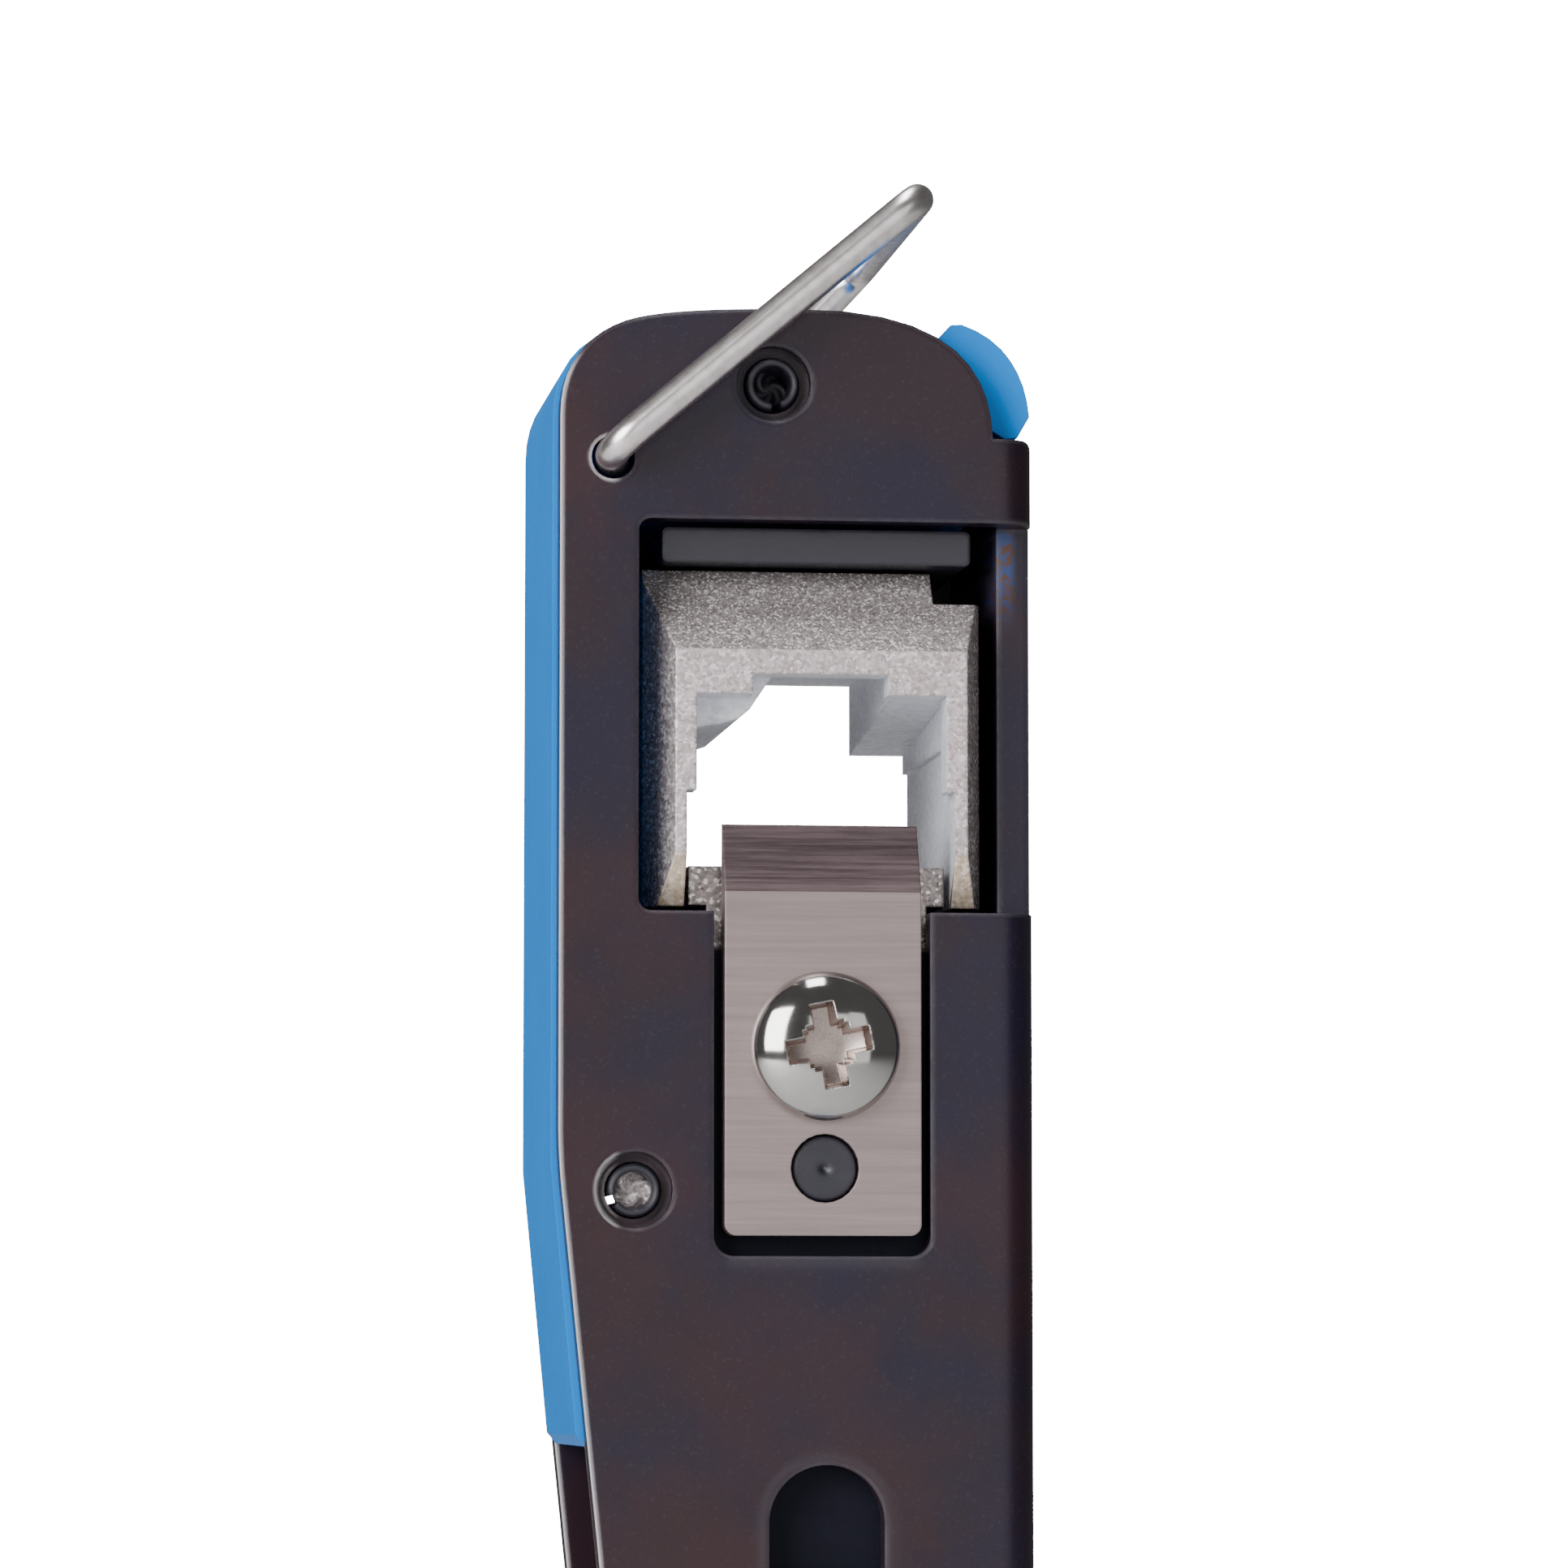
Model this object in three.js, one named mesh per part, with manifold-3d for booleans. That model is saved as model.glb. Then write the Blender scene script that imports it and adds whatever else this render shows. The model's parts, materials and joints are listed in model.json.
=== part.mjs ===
// Squeeze-type punch down tool for keystone jacks, in millimetres.
// +Z runs up the tool to its head, -Y is the side the blade is on, and +X is the web's side.
// The origin is on the fixed handle's butt, on the ram's axis, midway between the cheeks.
import * as THREE from 'three';
import { mergeVertices } from 'three/addons/utils/BufferGeometryUtils.js';
import Module from 'manifold-3d';

const wasm = await Module();
wasm.setup();

// Driving dimensions
const CHEEK_LEFT = -16.3;
const WEB_RIGHT = 13.2;
const SHEET = 2.0;
const DEPTH = 24.0;
const FRAME_TOP = 175.05;
const WEB_TOP = 167.2;
const FRAME_BOTTOM = 4.3;
const BEND_RADIUS = 2.4;
const SNUG = 0.1;

const WINDOW = { left: -11.45, bottom: 137.8, top: 161.95, cutDepth: 3.0, radius: 0.8 };
const BLADE_SLOT = { left: -6.8, right: 6.55, bottom: 116.75, top: 145, radius: 1.25 };
const PIN_SLOT = { x: 0.15, bottom: 89.0, top: 104.1, halfWidth: 3.55 };
const REAR_WINDOW = { halfWidth: 9.0, bottom: 138.6, top: 154.6, radius: 1.5 };

const ROLL_PINS = { roll_pin_top: [-3.15, 170.4], roll_pin_lower: [-11.65, 120.75] };
const ROLL_PIN_RADIUS = 1.65;
const COIN_RADIUS = 2.35;
const COIN_DEPTH = 1.1;

const NEST = {
  left: -10.8, right: 10.2, bottom: 138.25, top: 159.25, front: -11.3, lip: -8.9, step: [7.2, 157.2],
};
const NEST_SCREWS = { nest_screw_left: [-6.6, 157.0], nest_screw_right: [4.6, 157.0] };

const SQUEEZE = THREE.MathUtils.degToRad(32);
const PIVOT = new THREE.Vector3(-10.45, 0, 92.1);
const PIVOT_RADIUS = 2.0;
const HUB_RADIUS = 4.2;
const NOSE = { reach: 10.9, tip: 2.2, neck: 1.9 };
const DRIVE_PIN = { x: 0.15, z: 95.2, radius: 2.4 };
const ROLLER_RADIUS = 3.6;
const STOP_PIN = { x: -3.0, z: 86.0, radius: 1.5 };

const SCREW_Z = 129.5;
const DOWEL_Z = 122.1;
const BLADE = {
  left: -6.15, right: 5.95, bottom: 118.0, edge: 143.25, bevel: 139.0, front: -12.2, back: -10.2,
};

const BAIL_FRONT = new THREE.Vector3(-13.05, -11, 165.65);
const BAIL_BACK = new THREE.Vector3(-10.45, 11, 164.95);
const BAIL_TIP = { x: 5.8, z: 182.0 };
const BAIL_SIDE = 14.2;
const WIRE_RADIUS = 1.0;

const GRIP = { top: 70.0, left: -4.7, right: 14.8, halfDepth: 14.0, radius: 5.0, split: 3.0 };
const GRIP_SCREWS = { grip_screw_upper: 56.0, grip_screw_lower: 16.0 };
const GRIP_SCREW_X = 4.7;
const RAIL_PEGS = [106, 128];
const PEG_RADIUS = 1.2;
const FAR = 30;

// Finishes
const blackSteel = { color: 0x1b1a1f, roughness: 0.35, metalness: 0.6 };
const bluePlastic = { color: 0x1593d6, roughness: 0.3, metalness: 0.0 };
const castZinc = { color: 0x9a948e, roughness: 0.6, metalness: 0.8 };
const groundSteel = { color: 0xa49894, roughness: 0.4, metalness: 0.9 };
const brightSteel = { color: 0xd8d8d4, roughness: 0.12, metalness: 1.0 };
const wireSteel = { color: 0xb8b0aa, roughness: 0.25, metalness: 1.0 };
const darkSteel = { color: 0x2a292e, roughness: 0.3, metalness: 0.8 };
const softGrip = { color: 0x1788c9, roughness: 0.6, metalness: 0.0 };
const blackPlastic = { color: 0x17171a, roughness: 0.5, metalness: 0.0 };

// Solids: three.js geometry to manifold and back
function solid(geometry) {
  const bare = geometry.clone();
  bare.deleteAttribute('normal');
  bare.deleteAttribute('uv');
  const merged = mergeVertices(bare, 1e-5);
  const vertProperties = new Float32Array(merged.attributes.position.array);
  const triVerts = new Uint32Array(merged.index.array);
  return new wasm.Manifold(new wasm.Mesh({ numProp: 3, vertProperties, triVerts }));
}

function geometryOf(manifold) {
  const result = manifold.getMesh();
  const geometry = new THREE.BufferGeometry();
  geometry.setAttribute('position', new THREE.BufferAttribute(new Float32Array(result.vertProperties), 3));
  geometry.setIndex(new THREE.BufferAttribute(new Uint32Array(result.triVerts), 1));
  const flat = geometry.toNonIndexed();
  flat.computeVertexNormals();
  return flat;
}

function subtractAll(start, cutters) {
  return cutters.reduce((body, cutter) => body.subtract(cutter), start);
}

function piece(name, manifold, finish) {
  const mesh = new THREE.Mesh(geometryOf(manifold), new THREE.MeshStandardMaterial(finish));
  mesh.name = name;
  return mesh;
}

// Shapes drawn in the X-Z plane and given a thickness from y0 to y1
function slab(shape, y0, y1, curveSegments = 8) {
  const geometry = new THREE.ExtrudeGeometry(shape, { depth: y1 - y0, bevelEnabled: false, curveSegments });
  geometry.rotateX(Math.PI / 2);
  geometry.translate(0, y1, 0);
  return solid(geometry);
}

// A shape drawn in the Y-Z plane and given a width from x0 to x1
function slice(shape, x0, x1) {
  const options = { depth: x1 - x0, bevelEnabled: false, curveSegments: 6 };
  const geometry = new THREE.ExtrudeGeometry(shape, options);
  const turn = new THREE.Matrix4().makeBasis(
    new THREE.Vector3(0, 1, 0),
    new THREE.Vector3(0, 0, 1),
    new THREE.Vector3(1, 0, 0),
  );
  geometry.applyMatrix4(turn);
  geometry.translate(x0, 0, 0);
  return solid(geometry);
}

// A shape drawn in the X-Y plane and raised from z0 to z1
function column(shape, z0, z1) {
  const options = { depth: z1 - z0, bevelEnabled: false, curveSegments: 6 };
  const geometry = new THREE.ExtrudeGeometry(shape, options);
  geometry.translate(0, 0, z0);
  return solid(geometry);
}

function polygon(points) {
  return new THREE.Shape(points.map(([a, b]) => new THREE.Vector2(a, b)));
}

function roundedRectangle(a0, b0, a1, b1, r) {
  const shape = new THREE.Shape();
  shape.moveTo(a0 + r, b0);
  shape.lineTo(a1 - r, b0);
  shape.absarc(a1 - r, b0 + r, r, -Math.PI / 2, 0, false);
  shape.lineTo(a1, b1 - r);
  shape.absarc(a1 - r, b1 - r, r, 0, Math.PI / 2, false);
  shape.lineTo(a0 + r, b1);
  shape.absarc(a0 + r, b1 - r, r, Math.PI / 2, Math.PI, false);
  shape.lineTo(a0, b0 + r);
  shape.absarc(a0 + r, b0 + r, r, Math.PI, 1.5 * Math.PI, false);
  return shape;
}

function block(x0, x1, y0, y1, z0, z1) {
  const geometry = new THREE.BoxGeometry(x1 - x0, y1 - y0, z1 - z0);
  geometry.translate((x0 + x1) / 2, (y0 + y1) / 2, (z0 + z1) / 2);
  return solid(geometry);
}

// A round bar or a cone along Y
function rod(x, z, radius, y0, y1, sides = 24, endRadius = radius) {
  const geometry = new THREE.CylinderGeometry(endRadius, radius, y1 - y0, sides);
  geometry.translate(x, (y0 + y1) / 2, z);
  return solid(geometry);
}

function ring(x, z, inner, outer, y0, y1) {
  return rod(x, z, outer, y0, y1).subtract(rod(x, z, inner, y0 - 1, y1 + 1));
}

// A turned piece about the Y axis, from [radius, y] pairs that start and end on the axis
function turned(profile, x, z) {
  const geometry = new THREE.LatheGeometry(profile.map(([r, y]) => new THREE.Vector2(r, y)), 32);
  geometry.translate(x, 0, z);
  return solid(geometry);
}

// Straight runs joined by quadratic bends
function bentPath(points, radius) {
  const path = new THREE.CurvePath();
  let start = points[0];
  for (let i = 1; i < points.length - 1; i += 1) {
    const corner = points[i];
    const before = points[i - 1].clone().sub(corner).setLength(radius).add(corner);
    const after = points[i + 1].clone().sub(corner).setLength(radius).add(corner);
    path.add(new THREE.LineCurve3(start, before));
    path.add(new THREE.QuadraticBezierCurve3(before, corner, after));
    start = after;
  }
  path.add(new THREE.LineCurve3(start, points[points.length - 1]));
  return path;
}

function wire(path, radius, steps, sides) {
  const section = new THREE.Shape();
  section.absarc(0, 0, radius, 0, 2 * Math.PI, false);
  const geometry = new THREE.ExtrudeGeometry(section, {
    steps,
    extrudePath: path,
    curveSegments: sides,
    bevelEnabled: false,
  });
  return solid(geometry);
}

// Outline of one cheek: arched top, straight left edge, tapered waist, ear round the pivot, handle
function cheekOutline() {
  const shape = new THREE.Shape();
  shape.moveTo(WEB_RIGHT, FRAME_BOTTOM);
  shape.lineTo(WEB_RIGHT, WEB_TOP - 0.8);
  shape.quadraticCurveTo(WEB_RIGHT, WEB_TOP, WEB_RIGHT - 0.8, WEB_TOP);
  shape.lineTo(10.5, WEB_TOP);
  shape.lineTo(10.5, WEB_TOP + 0.4);
  shape.bezierCurveTo(10.3, 170.9, 8.6, 175.3, -1.5, FRAME_TOP);
  shape.bezierCurveTo(-6.0, FRAME_TOP, -10.4, 174.84, -12.3, 174.15);
  shape.bezierCurveTo(-14.9, 173.2, CHEEK_LEFT, 171.2, CHEEK_LEFT, 168.3);
  shape.lineTo(CHEEK_LEFT, 125);
  shape.quadraticCurveTo(CHEEK_LEFT, 122.5, -16.0, 120);
  shape.lineTo(-13.55, 96.4);
  const ear = new THREE.Vector2(PIVOT.x, PIVOT.z);
  shape.absarc(ear.x, ear.y, HUB_RADIUS, 2.45, 4.3, false);
  shape.lineTo(-3.2, 78);
  shape.lineTo(-3.2, FRAME_BOTTOM);
  return shape;
}

// The web's bends, seen from above, as one rounded block open to the left
function bendBlock() {
  const half = DEPTH / 2;
  const shape = new THREE.Shape();
  shape.moveTo(-40, -half);
  shape.lineTo(WEB_RIGHT - BEND_RADIUS, -half);
  shape.absarc(WEB_RIGHT - BEND_RADIUS, -half + BEND_RADIUS, BEND_RADIUS, -Math.PI / 2, 0, false);
  shape.lineTo(WEB_RIGHT, half - BEND_RADIUS);
  shape.absarc(WEB_RIGHT - BEND_RADIUS, half - BEND_RADIUS, BEND_RADIUS, 0, Math.PI / 2, false);
  shape.lineTo(-40, half);
  return column(shape, 0, 200);
}

function frameChannel() {
  const half = DEPTH / 2;
  const inner = half - SHEET;
  const outside = slab(cheekOutline(), -half, half, 10).intersect(bendBlock());
  const cutters = [
    block(-40, WEB_RIGHT - SHEET, -inner, inner, 0, 200),
    slab(roundedRectangle(
      WINDOW.left, WINDOW.bottom,
      FAR, WINDOW.top, WINDOW.radius), -FAR, -half + WINDOW.cutDepth),
    slab(roundedRectangle(
      BLADE_SLOT.left, BLADE_SLOT.bottom,
      BLADE_SLOT.right, BLADE_SLOT.top, BLADE_SLOT.radius), -FAR, -inner + 0.1),
    slab(roundedRectangle(
      PIN_SLOT.x - PIN_SLOT.halfWidth, PIN_SLOT.bottom,
      PIN_SLOT.x + PIN_SLOT.halfWidth, PIN_SLOT.top, PIN_SLOT.halfWidth - 0.01), -FAR, FAR),
    slab(roundedRectangle(
      -REAR_WINDOW.halfWidth, REAR_WINDOW.bottom,
      REAR_WINDOW.halfWidth, REAR_WINDOW.top, REAR_WINDOW.radius), 0, FAR),
    rod(BAIL_FRONT.x, BAIL_FRONT.z, 1.35, -FAR, 0),
    rod(BAIL_BACK.x, BAIL_BACK.z, 1.35, 0, FAR),
    rod(PIVOT.x, PIVOT.z, PIVOT_RADIUS + 0.05, -FAR, FAR),
    rod(STOP_PIN.x, STOP_PIN.z, STOP_PIN.radius + 0.05, -FAR, FAR),
    block(-1.9, 1.9, inner - 1, half + 1, 128.1, 130.9),
  ];
  for (const [x, z] of Object.values(ROLL_PINS)) {
    cutters.push(rod(x, z, ROLL_PIN_RADIUS + SNUG, -FAR, FAR));
    cutters.push(rod(x, z, COIN_RADIUS, -FAR, -half + COIN_DEPTH));
    cutters.push(rod(x, z, COIN_RADIUS, half - COIN_DEPTH, FAR));
  }
  for (const [x, z] of Object.values(NEST_SCREWS)) {
    cutters.push(rod(x, z, 1.65, 0, FAR));
  }
  for (const z of Object.values(GRIP_SCREWS)) {
    cutters.push(rod(GRIP_SCREW_X, z, 1.7, -FAR, FAR));
  }
  for (const z of RAIL_PEGS) {
    cutters.push(peg(z, PEG_RADIUS + 0.15, 5, FAR));
  }
  return piece('frame_channel', subtractAll(outside, cutters), blackSteel);
}

// A short round peg along X
function peg(z, radius, x0, x1) {
  const geometry = new THREE.CylinderGeometry(radius, radius, x1 - x0, 16);
  geometry.rotateZ(Math.PI / 2);
  geometry.translate((x0 + x1) / 2, 0, z);
  return solid(geometry);
}

// Blue filler between the cheeks, with its latch tab over the top right corner
function coverInsert() {
  const shape = new THREE.Shape();
  shape.moveTo(-12.4, 105.2);
  shape.lineTo(-12.4, 108);
  shape.lineTo(-8.9, 112);
  shape.lineTo(-8.9, 133);
  shape.lineTo(-12.4, 136.5);
  shape.lineTo(-12.4, 163);
  shape.lineTo(10.3, 163);
  shape.lineTo(10.3, 168.3);
  shape.lineTo(11.6, 167.5);
  shape.lineTo(12.4, 167.6);
  shape.lineTo(13.15, 168.9);
  shape.bezierCurveTo(12.95, 171.6, 11.6, 173.8, 8.9, 174.65);
  shape.lineTo(8.2, 174.6);
  shape.lineTo(7.2, 173.2);
  shape.quadraticCurveTo(4.0, 174.4, -1.5, 174.5);
  shape.bezierCurveTo(-6.0, 174.55, -10.4, 174.4, -12.6, 173.9);
  shape.bezierCurveTo(-15.1, 173.3, -16.6, 171.4, -16.6, 168.3);
  shape.lineTo(-16.6, 122.5);
  shape.lineTo(-15.0, 105.9);
  shape.lineTo(-14.4, 105.2);
  const reach = DEPTH / 2 - SHEET - SNUG;
  const cutters = [
    rod(BAIL_FRONT.x + 0.1, BAIL_FRONT.z, 1.6, -30, -5.5),
    rod(BAIL_BACK.x - 0.1, BAIL_BACK.z, 1.6, 5.5, 30),
  ];
  for (const [x, z] of Object.values(ROLL_PINS)) {
    cutters.push(rod(x, z, ROLL_PIN_RADIUS + SNUG, -FAR, FAR));
  }
  return piece('cover_insert', subtractAll(slab(shape, -reach, reach, 8), cutters), bluePlastic);
}

// Slotted spring pin: a rolled tube with a gap along it
function rollPin(name, [x, z], slotAngle) {
  const gap = 0.22;
  const bore = ROLL_PIN_RADIUS - 0.55;
  const shape = new THREE.Shape();
  shape.absarc(0, 0, ROLL_PIN_RADIUS, slotAngle + gap, slotAngle + 2 * Math.PI - gap, false);
  shape.absarc(0, 0, bore, slotAngle + 2 * Math.PI - gap, slotAngle + gap, true);
  const pin = slab(shape, -DEPTH / 2 + 0.3, DEPTH / 2 - 0.3, 24).translate([x, 0, z]);
  return piece(name, pin, darkSteel);
}

// Cast nest: bevelled front bezel, keyed way through, open at the bottom for the punch head
function jackNest() {
  const front = NEST.front;
  const outer = new THREE.Shape();
  outer.moveTo(NEST.left, NEST.bottom);
  outer.lineTo(NEST.right, NEST.bottom);
  outer.lineTo(NEST.right, NEST.step[1]);
  outer.lineTo(NEST.step[0], NEST.step[1]);
  outer.lineTo(NEST.step[0], NEST.top);
  outer.lineTo(NEST.left, NEST.top);
  const lipOpening = polygon([
    [-8.4, 130], [8.2, 130], [8.2, 145.3], [7.7, 145.3], [7.7, 151.25], [4.1, 151.25],
    [4.1, 152.5], [-4.3, 152.5], [-4.3, 151.25], [-7.8, 151.25], [-7.8, 145.3], [-8.4, 145.3],
  ]);
  const rearOpening = polygon([
    [-8.4, 130], [8.3, 130], [8.3, 148.3], [8.0, 148.3], [8.0, 149.5], [4.5, 149.5], [4.5, 154],
    [-1.9, 154], [-4.25, 150.5], [-4.9, 149.95], [-6.0, 149.6], [-8.4, 149.2],
  ]);
  const rearRamp = polygon([[NEST.lip - 0.01, 149], [NEST.lip - 0.01, 151.25], [9.95, 149.5], [9.95, 149]]);
  const topBevel = polygon([[front - 1, 152.62], [front + 4.8, 160.62], [front - 1, 165]]);
  const leftBevel = polygon([
    [NEST.left - 1, front - 1], [NEST.left + 1.7, front - 1], [NEST.left + 1.7, front],
    [NEST.left, front + 3.2], [NEST.left - 1, front + 3.2],
  ]);
  const rightBevel = polygon([
    [NEST.right + 1, front - 1], [NEST.right + 1, front + 3.2], [NEST.right, front + 3.2],
    [NEST.right - 1.2, front], [NEST.right - 1.2, front - 1],
  ]);
  const footBevel = polygon([[front - 1, 143.2], [front - 1, 130], [front + 1.8, 130], [front + 1.8, 138.2]]);
  const cutters = [
    slab(lipOpening, -30, NEST.lip),
    slab(rearOpening, NEST.lip - 0.01, 30),
    slice(rearRamp, 4.5, 8.0),
    slice(topBevel, -FAR, FAR),
    column(leftBevel, 100, 200),
    column(rightBevel, 100, 200),
    slice(footBevel, -FAR, FAR),
  ];
  for (const [x, z] of Object.values(NEST_SCREWS)) {
    cutters.push(rod(x, z, 1.6, 3.5, 30));
  }
  return piece('jack_nest', subtractAll(slab(outer, front, 9.9), cutters), castZinc);
}

// Pan head screw through the back cheek
function nestScrew(name, [x, z]) {
  const seat = DEPTH / 2 + SNUG;
  const profile = [
    [0, 4], [1.5, 4], [1.5, seat], [2.7, seat], [2.7, seat + 0.9], [2.1, seat + 1.5], [0, seat + 1.7],
  ];
  const recess = crossRecess(x, z, 2.6, 0.7, 0.5, seat + 0.7, seat + 3);
  return piece(name, turned(profile, x, z).subtract(recess), brightSteel);
}

// Cross recess: two crossed slots, turned by an angle
function crossRecess(x, z, span, width, angle, y0, y1) {
  const bars = [0, Math.PI / 2].map((quarter) => {
    const geometry = new THREE.BoxGeometry(span, y1 - y0, width);
    geometry.rotateY(angle + quarter);
    geometry.translate(x, (y0 + y1) / 2, z);
    return solid(geometry);
  });
  return bars[0].add(bars[1]);
}

function clampBar() {
  const shape = roundedRectangle(-9.8, 159.5, 9.4, 161.65, 0.35);
  return piece('clamp_bar', slab(shape, -9.9, 9.6, 3), darkSteel);
}

function guideRail() {
  const strip = block(7.2, 10.8, -9.6, 9.6, 100, 134);
  const pegs = RAIL_PEGS.map((z) => peg(z, PEG_RADIUS, 9.5, WEB_RIGHT - SNUG));
  return piece('guide_rail', strip.add(pegs[0]).add(pegs[1]), blackPlastic);
}

function springStop() {
  const body = block(-2.8, 2.8, 3.9, 9.9, 128, 131);
  return piece('spring_stop', body.add(block(-1.6, 1.6, 9.8, 11.8, 128.4, 130.6)), darkSteel);
}

// Slider with two legs that straddle the lever's nose and carry the drive pin
function ramBody() {
  const shape = polygon([
    [-4.0, 90.6], [4.3, 90.6], [4.3, 100], [6.85, 101.5], [6.85, 135.5], [-8.0, 135.5], [-8.0, 131.5],
    [-8.5, 131.0], [-8.5, 101.5], [-4.0, 100],
  ]);
  const cutters = [
    block(-20, 20, -4.7, 4.7, 80, 99.6),
    block(-3.2, 3.2, 3.4, 20, 108, 140),
    rod(DRIVE_PIN.x, DRIVE_PIN.z, DRIVE_PIN.radius + 0.05, -FAR, FAR),
    rod(0, SCREW_Z, 2.1, -30, -2),
    rod(0, DOWEL_Z, 2.05, -30, -3),
  ];
  return piece('ram_body', subtractAll(slab(shape, -9.7, 9.7), cutters), darkSteel);
}

// Cast head that pushes the wires home, T-shaped, with a shallow trough and four ribs
function punchHead() {
  const shape = polygon([
    [-6.9, 135.6], [6.8, 135.6], [6.8, 138.4], [7.9, 138.4], [7.9, 140.8], [-8.0, 140.8], [-8.0, 138.4],
    [-6.9, 138.4],
  ]);
  const cutters = [];
  for (const x of [-6.2, -3.2, -0.2, 2.8]) {
    cutters.push(block(x, x + 2.0, -6.5, 6.5, 139.4, 145));
  }
  return piece('punch_head', subtractAll(slab(shape, -8.6, 8.6), cutters), castZinc);
}

function cuttingBlade() {
  const section = polygon([
    [BLADE.front, BLADE.bottom], [BLADE.back, BLADE.bottom], [BLADE.back, BLADE.edge],
    [BLADE.back - 0.15, BLADE.edge], [BLADE.front, BLADE.bevel],
  ]);
  const plan = roundedRectangle(BLADE.left, BLADE.bottom, BLADE.right, BLADE.edge + 5, 0.7);
  const blank = slice(section, BLADE.left - 1, BLADE.right + 1).intersect(slab(plan, -20, 0, 4));
  const holes = [rod(0, SCREW_Z, 2.3, -FAR, 0), rod(0, DOWEL_Z, 2.1, -FAR, 0)];
  return piece('cutting_blade', subtractAll(blank, holes), groundSteel);
}

// Domed head with a deep cross recess, threaded into the ram
function bladeScrew() {
  const seat = BLADE.front - SNUG;
  const headRadius = 4.6;
  const rise = 2.4;
  const profile = [[0, seat - rise]];
  for (let i = 1; i <= 8; i += 1) {
    const t = (i / 8) * (Math.PI / 2);
    profile.push([headRadius * Math.sin(t), seat - rise * Math.cos(t) * 0.85 - 0.15 * rise]);
  }
  profile.push([headRadius, seat]);
  profile.push([2.0, seat]);
  profile.push([2.0, -2.4]);
  profile.push([0, -2.4]);
  const body = turned(profile, 0, SCREW_Z);
  const recess = crossRecess(0, SCREW_Z, 4.7, 1.15, -0.2, seat - 5, seat - 0.6);
  return piece('blade_screw', body.subtract(recess), brightSteel);
}

function bladeDowel() {
  const profile = [[0, -3.4], [2.0, -3.4], [2.0, -11.7], [1.8, -11.9], [0.35, -11.9], [0, -11.7]];
  return piece('blade_dowel', turned(profile.reverse(), 0, DOWEL_Z), darkSteel);
}

function drivePin() {
  return piece('drive_pin', rod(DRIVE_PIN.x, DRIVE_PIN.z, DRIVE_PIN.radius, -11.6, 11.6, 32), darkSteel);
}

function driveRoller() {
  const roller = ring(DRIVE_PIN.x, DRIVE_PIN.z, DRIVE_PIN.radius + 0.05, ROLLER_RADIUS, -4.3, 4.3);
  return piece('drive_roller', roller, brightSteel);
}

// Compression spring with closed, flattened ends
function returnSpring() {
  const bottom = 108.7;
  const top = 127.4;
  const turns = 7;
  class Helix extends THREE.Curve {
    getPoint(t, target = new THREE.Vector3()) {
      const angle = 2 * Math.PI * turns * t;
      return target.set(2.2 * Math.cos(angle), 6.6 + 2.2 * Math.sin(angle), bottom + (top - bottom) * t);
    }
  }
  return piece('return_spring', wire(new Helix(), 0.35, turns * 14, 3), brightSteel);
}

// Bell crank in its own frame: pivot at the origin, drawn as it stands when fully squeezed
function leverShape() {
  const tilt = SQUEEZE / 2;
  const along = new THREE.Vector2(Math.cos(tilt), Math.sin(tilt));
  const across = new THREE.Vector2(-along.y, along.x);
  const at = (u, v) => along.clone().multiplyScalar(u).addScaledVector(across, v);
  const shape = new THREE.Shape();
  const start = at(3.9, -NOSE.neck);
  shape.moveTo(start.x, start.y);
  const neck = at(NOSE.reach - 1.1, -NOSE.neck);
  shape.lineTo(neck.x, neck.y);
  const tip = at(NOSE.reach, 0);
  shape.absarc(tip.x, tip.y, NOSE.tip, tilt - 2.09, tilt + 2.09, false);
  const back = at(3.9, NOSE.neck);
  shape.lineTo(back.x, back.y);
  shape.absarc(0, 0, HUB_RADIUS, tilt + 0.46, Math.PI + 0.25, false);
  shape.lineTo(-6.0, -14);
  shape.lineTo(-6.0, -85);
  shape.lineTo(3.0, -85);
  shape.lineTo(3.0, -14);
  shape.quadraticCurveTo(3.0, -7, 3.2, -3.4);
  return shape;
}

function leverArm() {
  const bar = slab(leverShape(), -4.0, 4.0, 10);
  return piece('lever_arm', bar.subtract(rod(0, 0, PIVOT_RADIUS + 0.05, -FAR, FAR)), blackSteel);
}

function leverGrip() {
  const outer = column(roundedRectangle(-8.2, -10.5, 5.0, 10.5, 4.0), -91, -22);
  const pocket = block(-6.2, 3.2, -4.2, 4.2, -85.3, 0);
  return piece('lever_grip', outer.subtract(pocket), softGrip);
}

function pivotPin() {
  const half = DEPTH / 2 + SNUG;
  const profile = [
    [0, -half - 1.1], [2.6, -half - 1.1], [3.4, -half - 0.4], [3.4, -half], [PIVOT_RADIUS, -half],
    [PIVOT_RADIUS, half], [3.4, half], [3.4, half + 0.4], [2.6, half + 1.1], [0, half + 1.1],
  ];
  return piece('pivot_pin', turned(profile, PIVOT.x, PIVOT.z), brightSteel);
}

function pivotBushing(name, y0, y1) {
  return piece(name, ring(PIVOT.x, PIVOT.z, PIVOT_RADIUS + 0.05, 3.4, y0, y1), brightSteel);
}

function stopPin() {
  return piece('stop_pin', rod(STOP_PIN.x, STOP_PIN.z, STOP_PIN.radius, -DEPTH / 2, DEPTH / 2), darkSteel);
}

function handleCore() {
  const core = block(-3.1, 10.8, -9.8, 9.8, 5, 80);
  const holes = Object.values(GRIP_SCREWS).map((z) => rod(GRIP_SCREW_X, z, 1.6, -FAR, FAR));
  return piece('handle_core', subtractAll(core, holes), blackPlastic);
}

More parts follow.
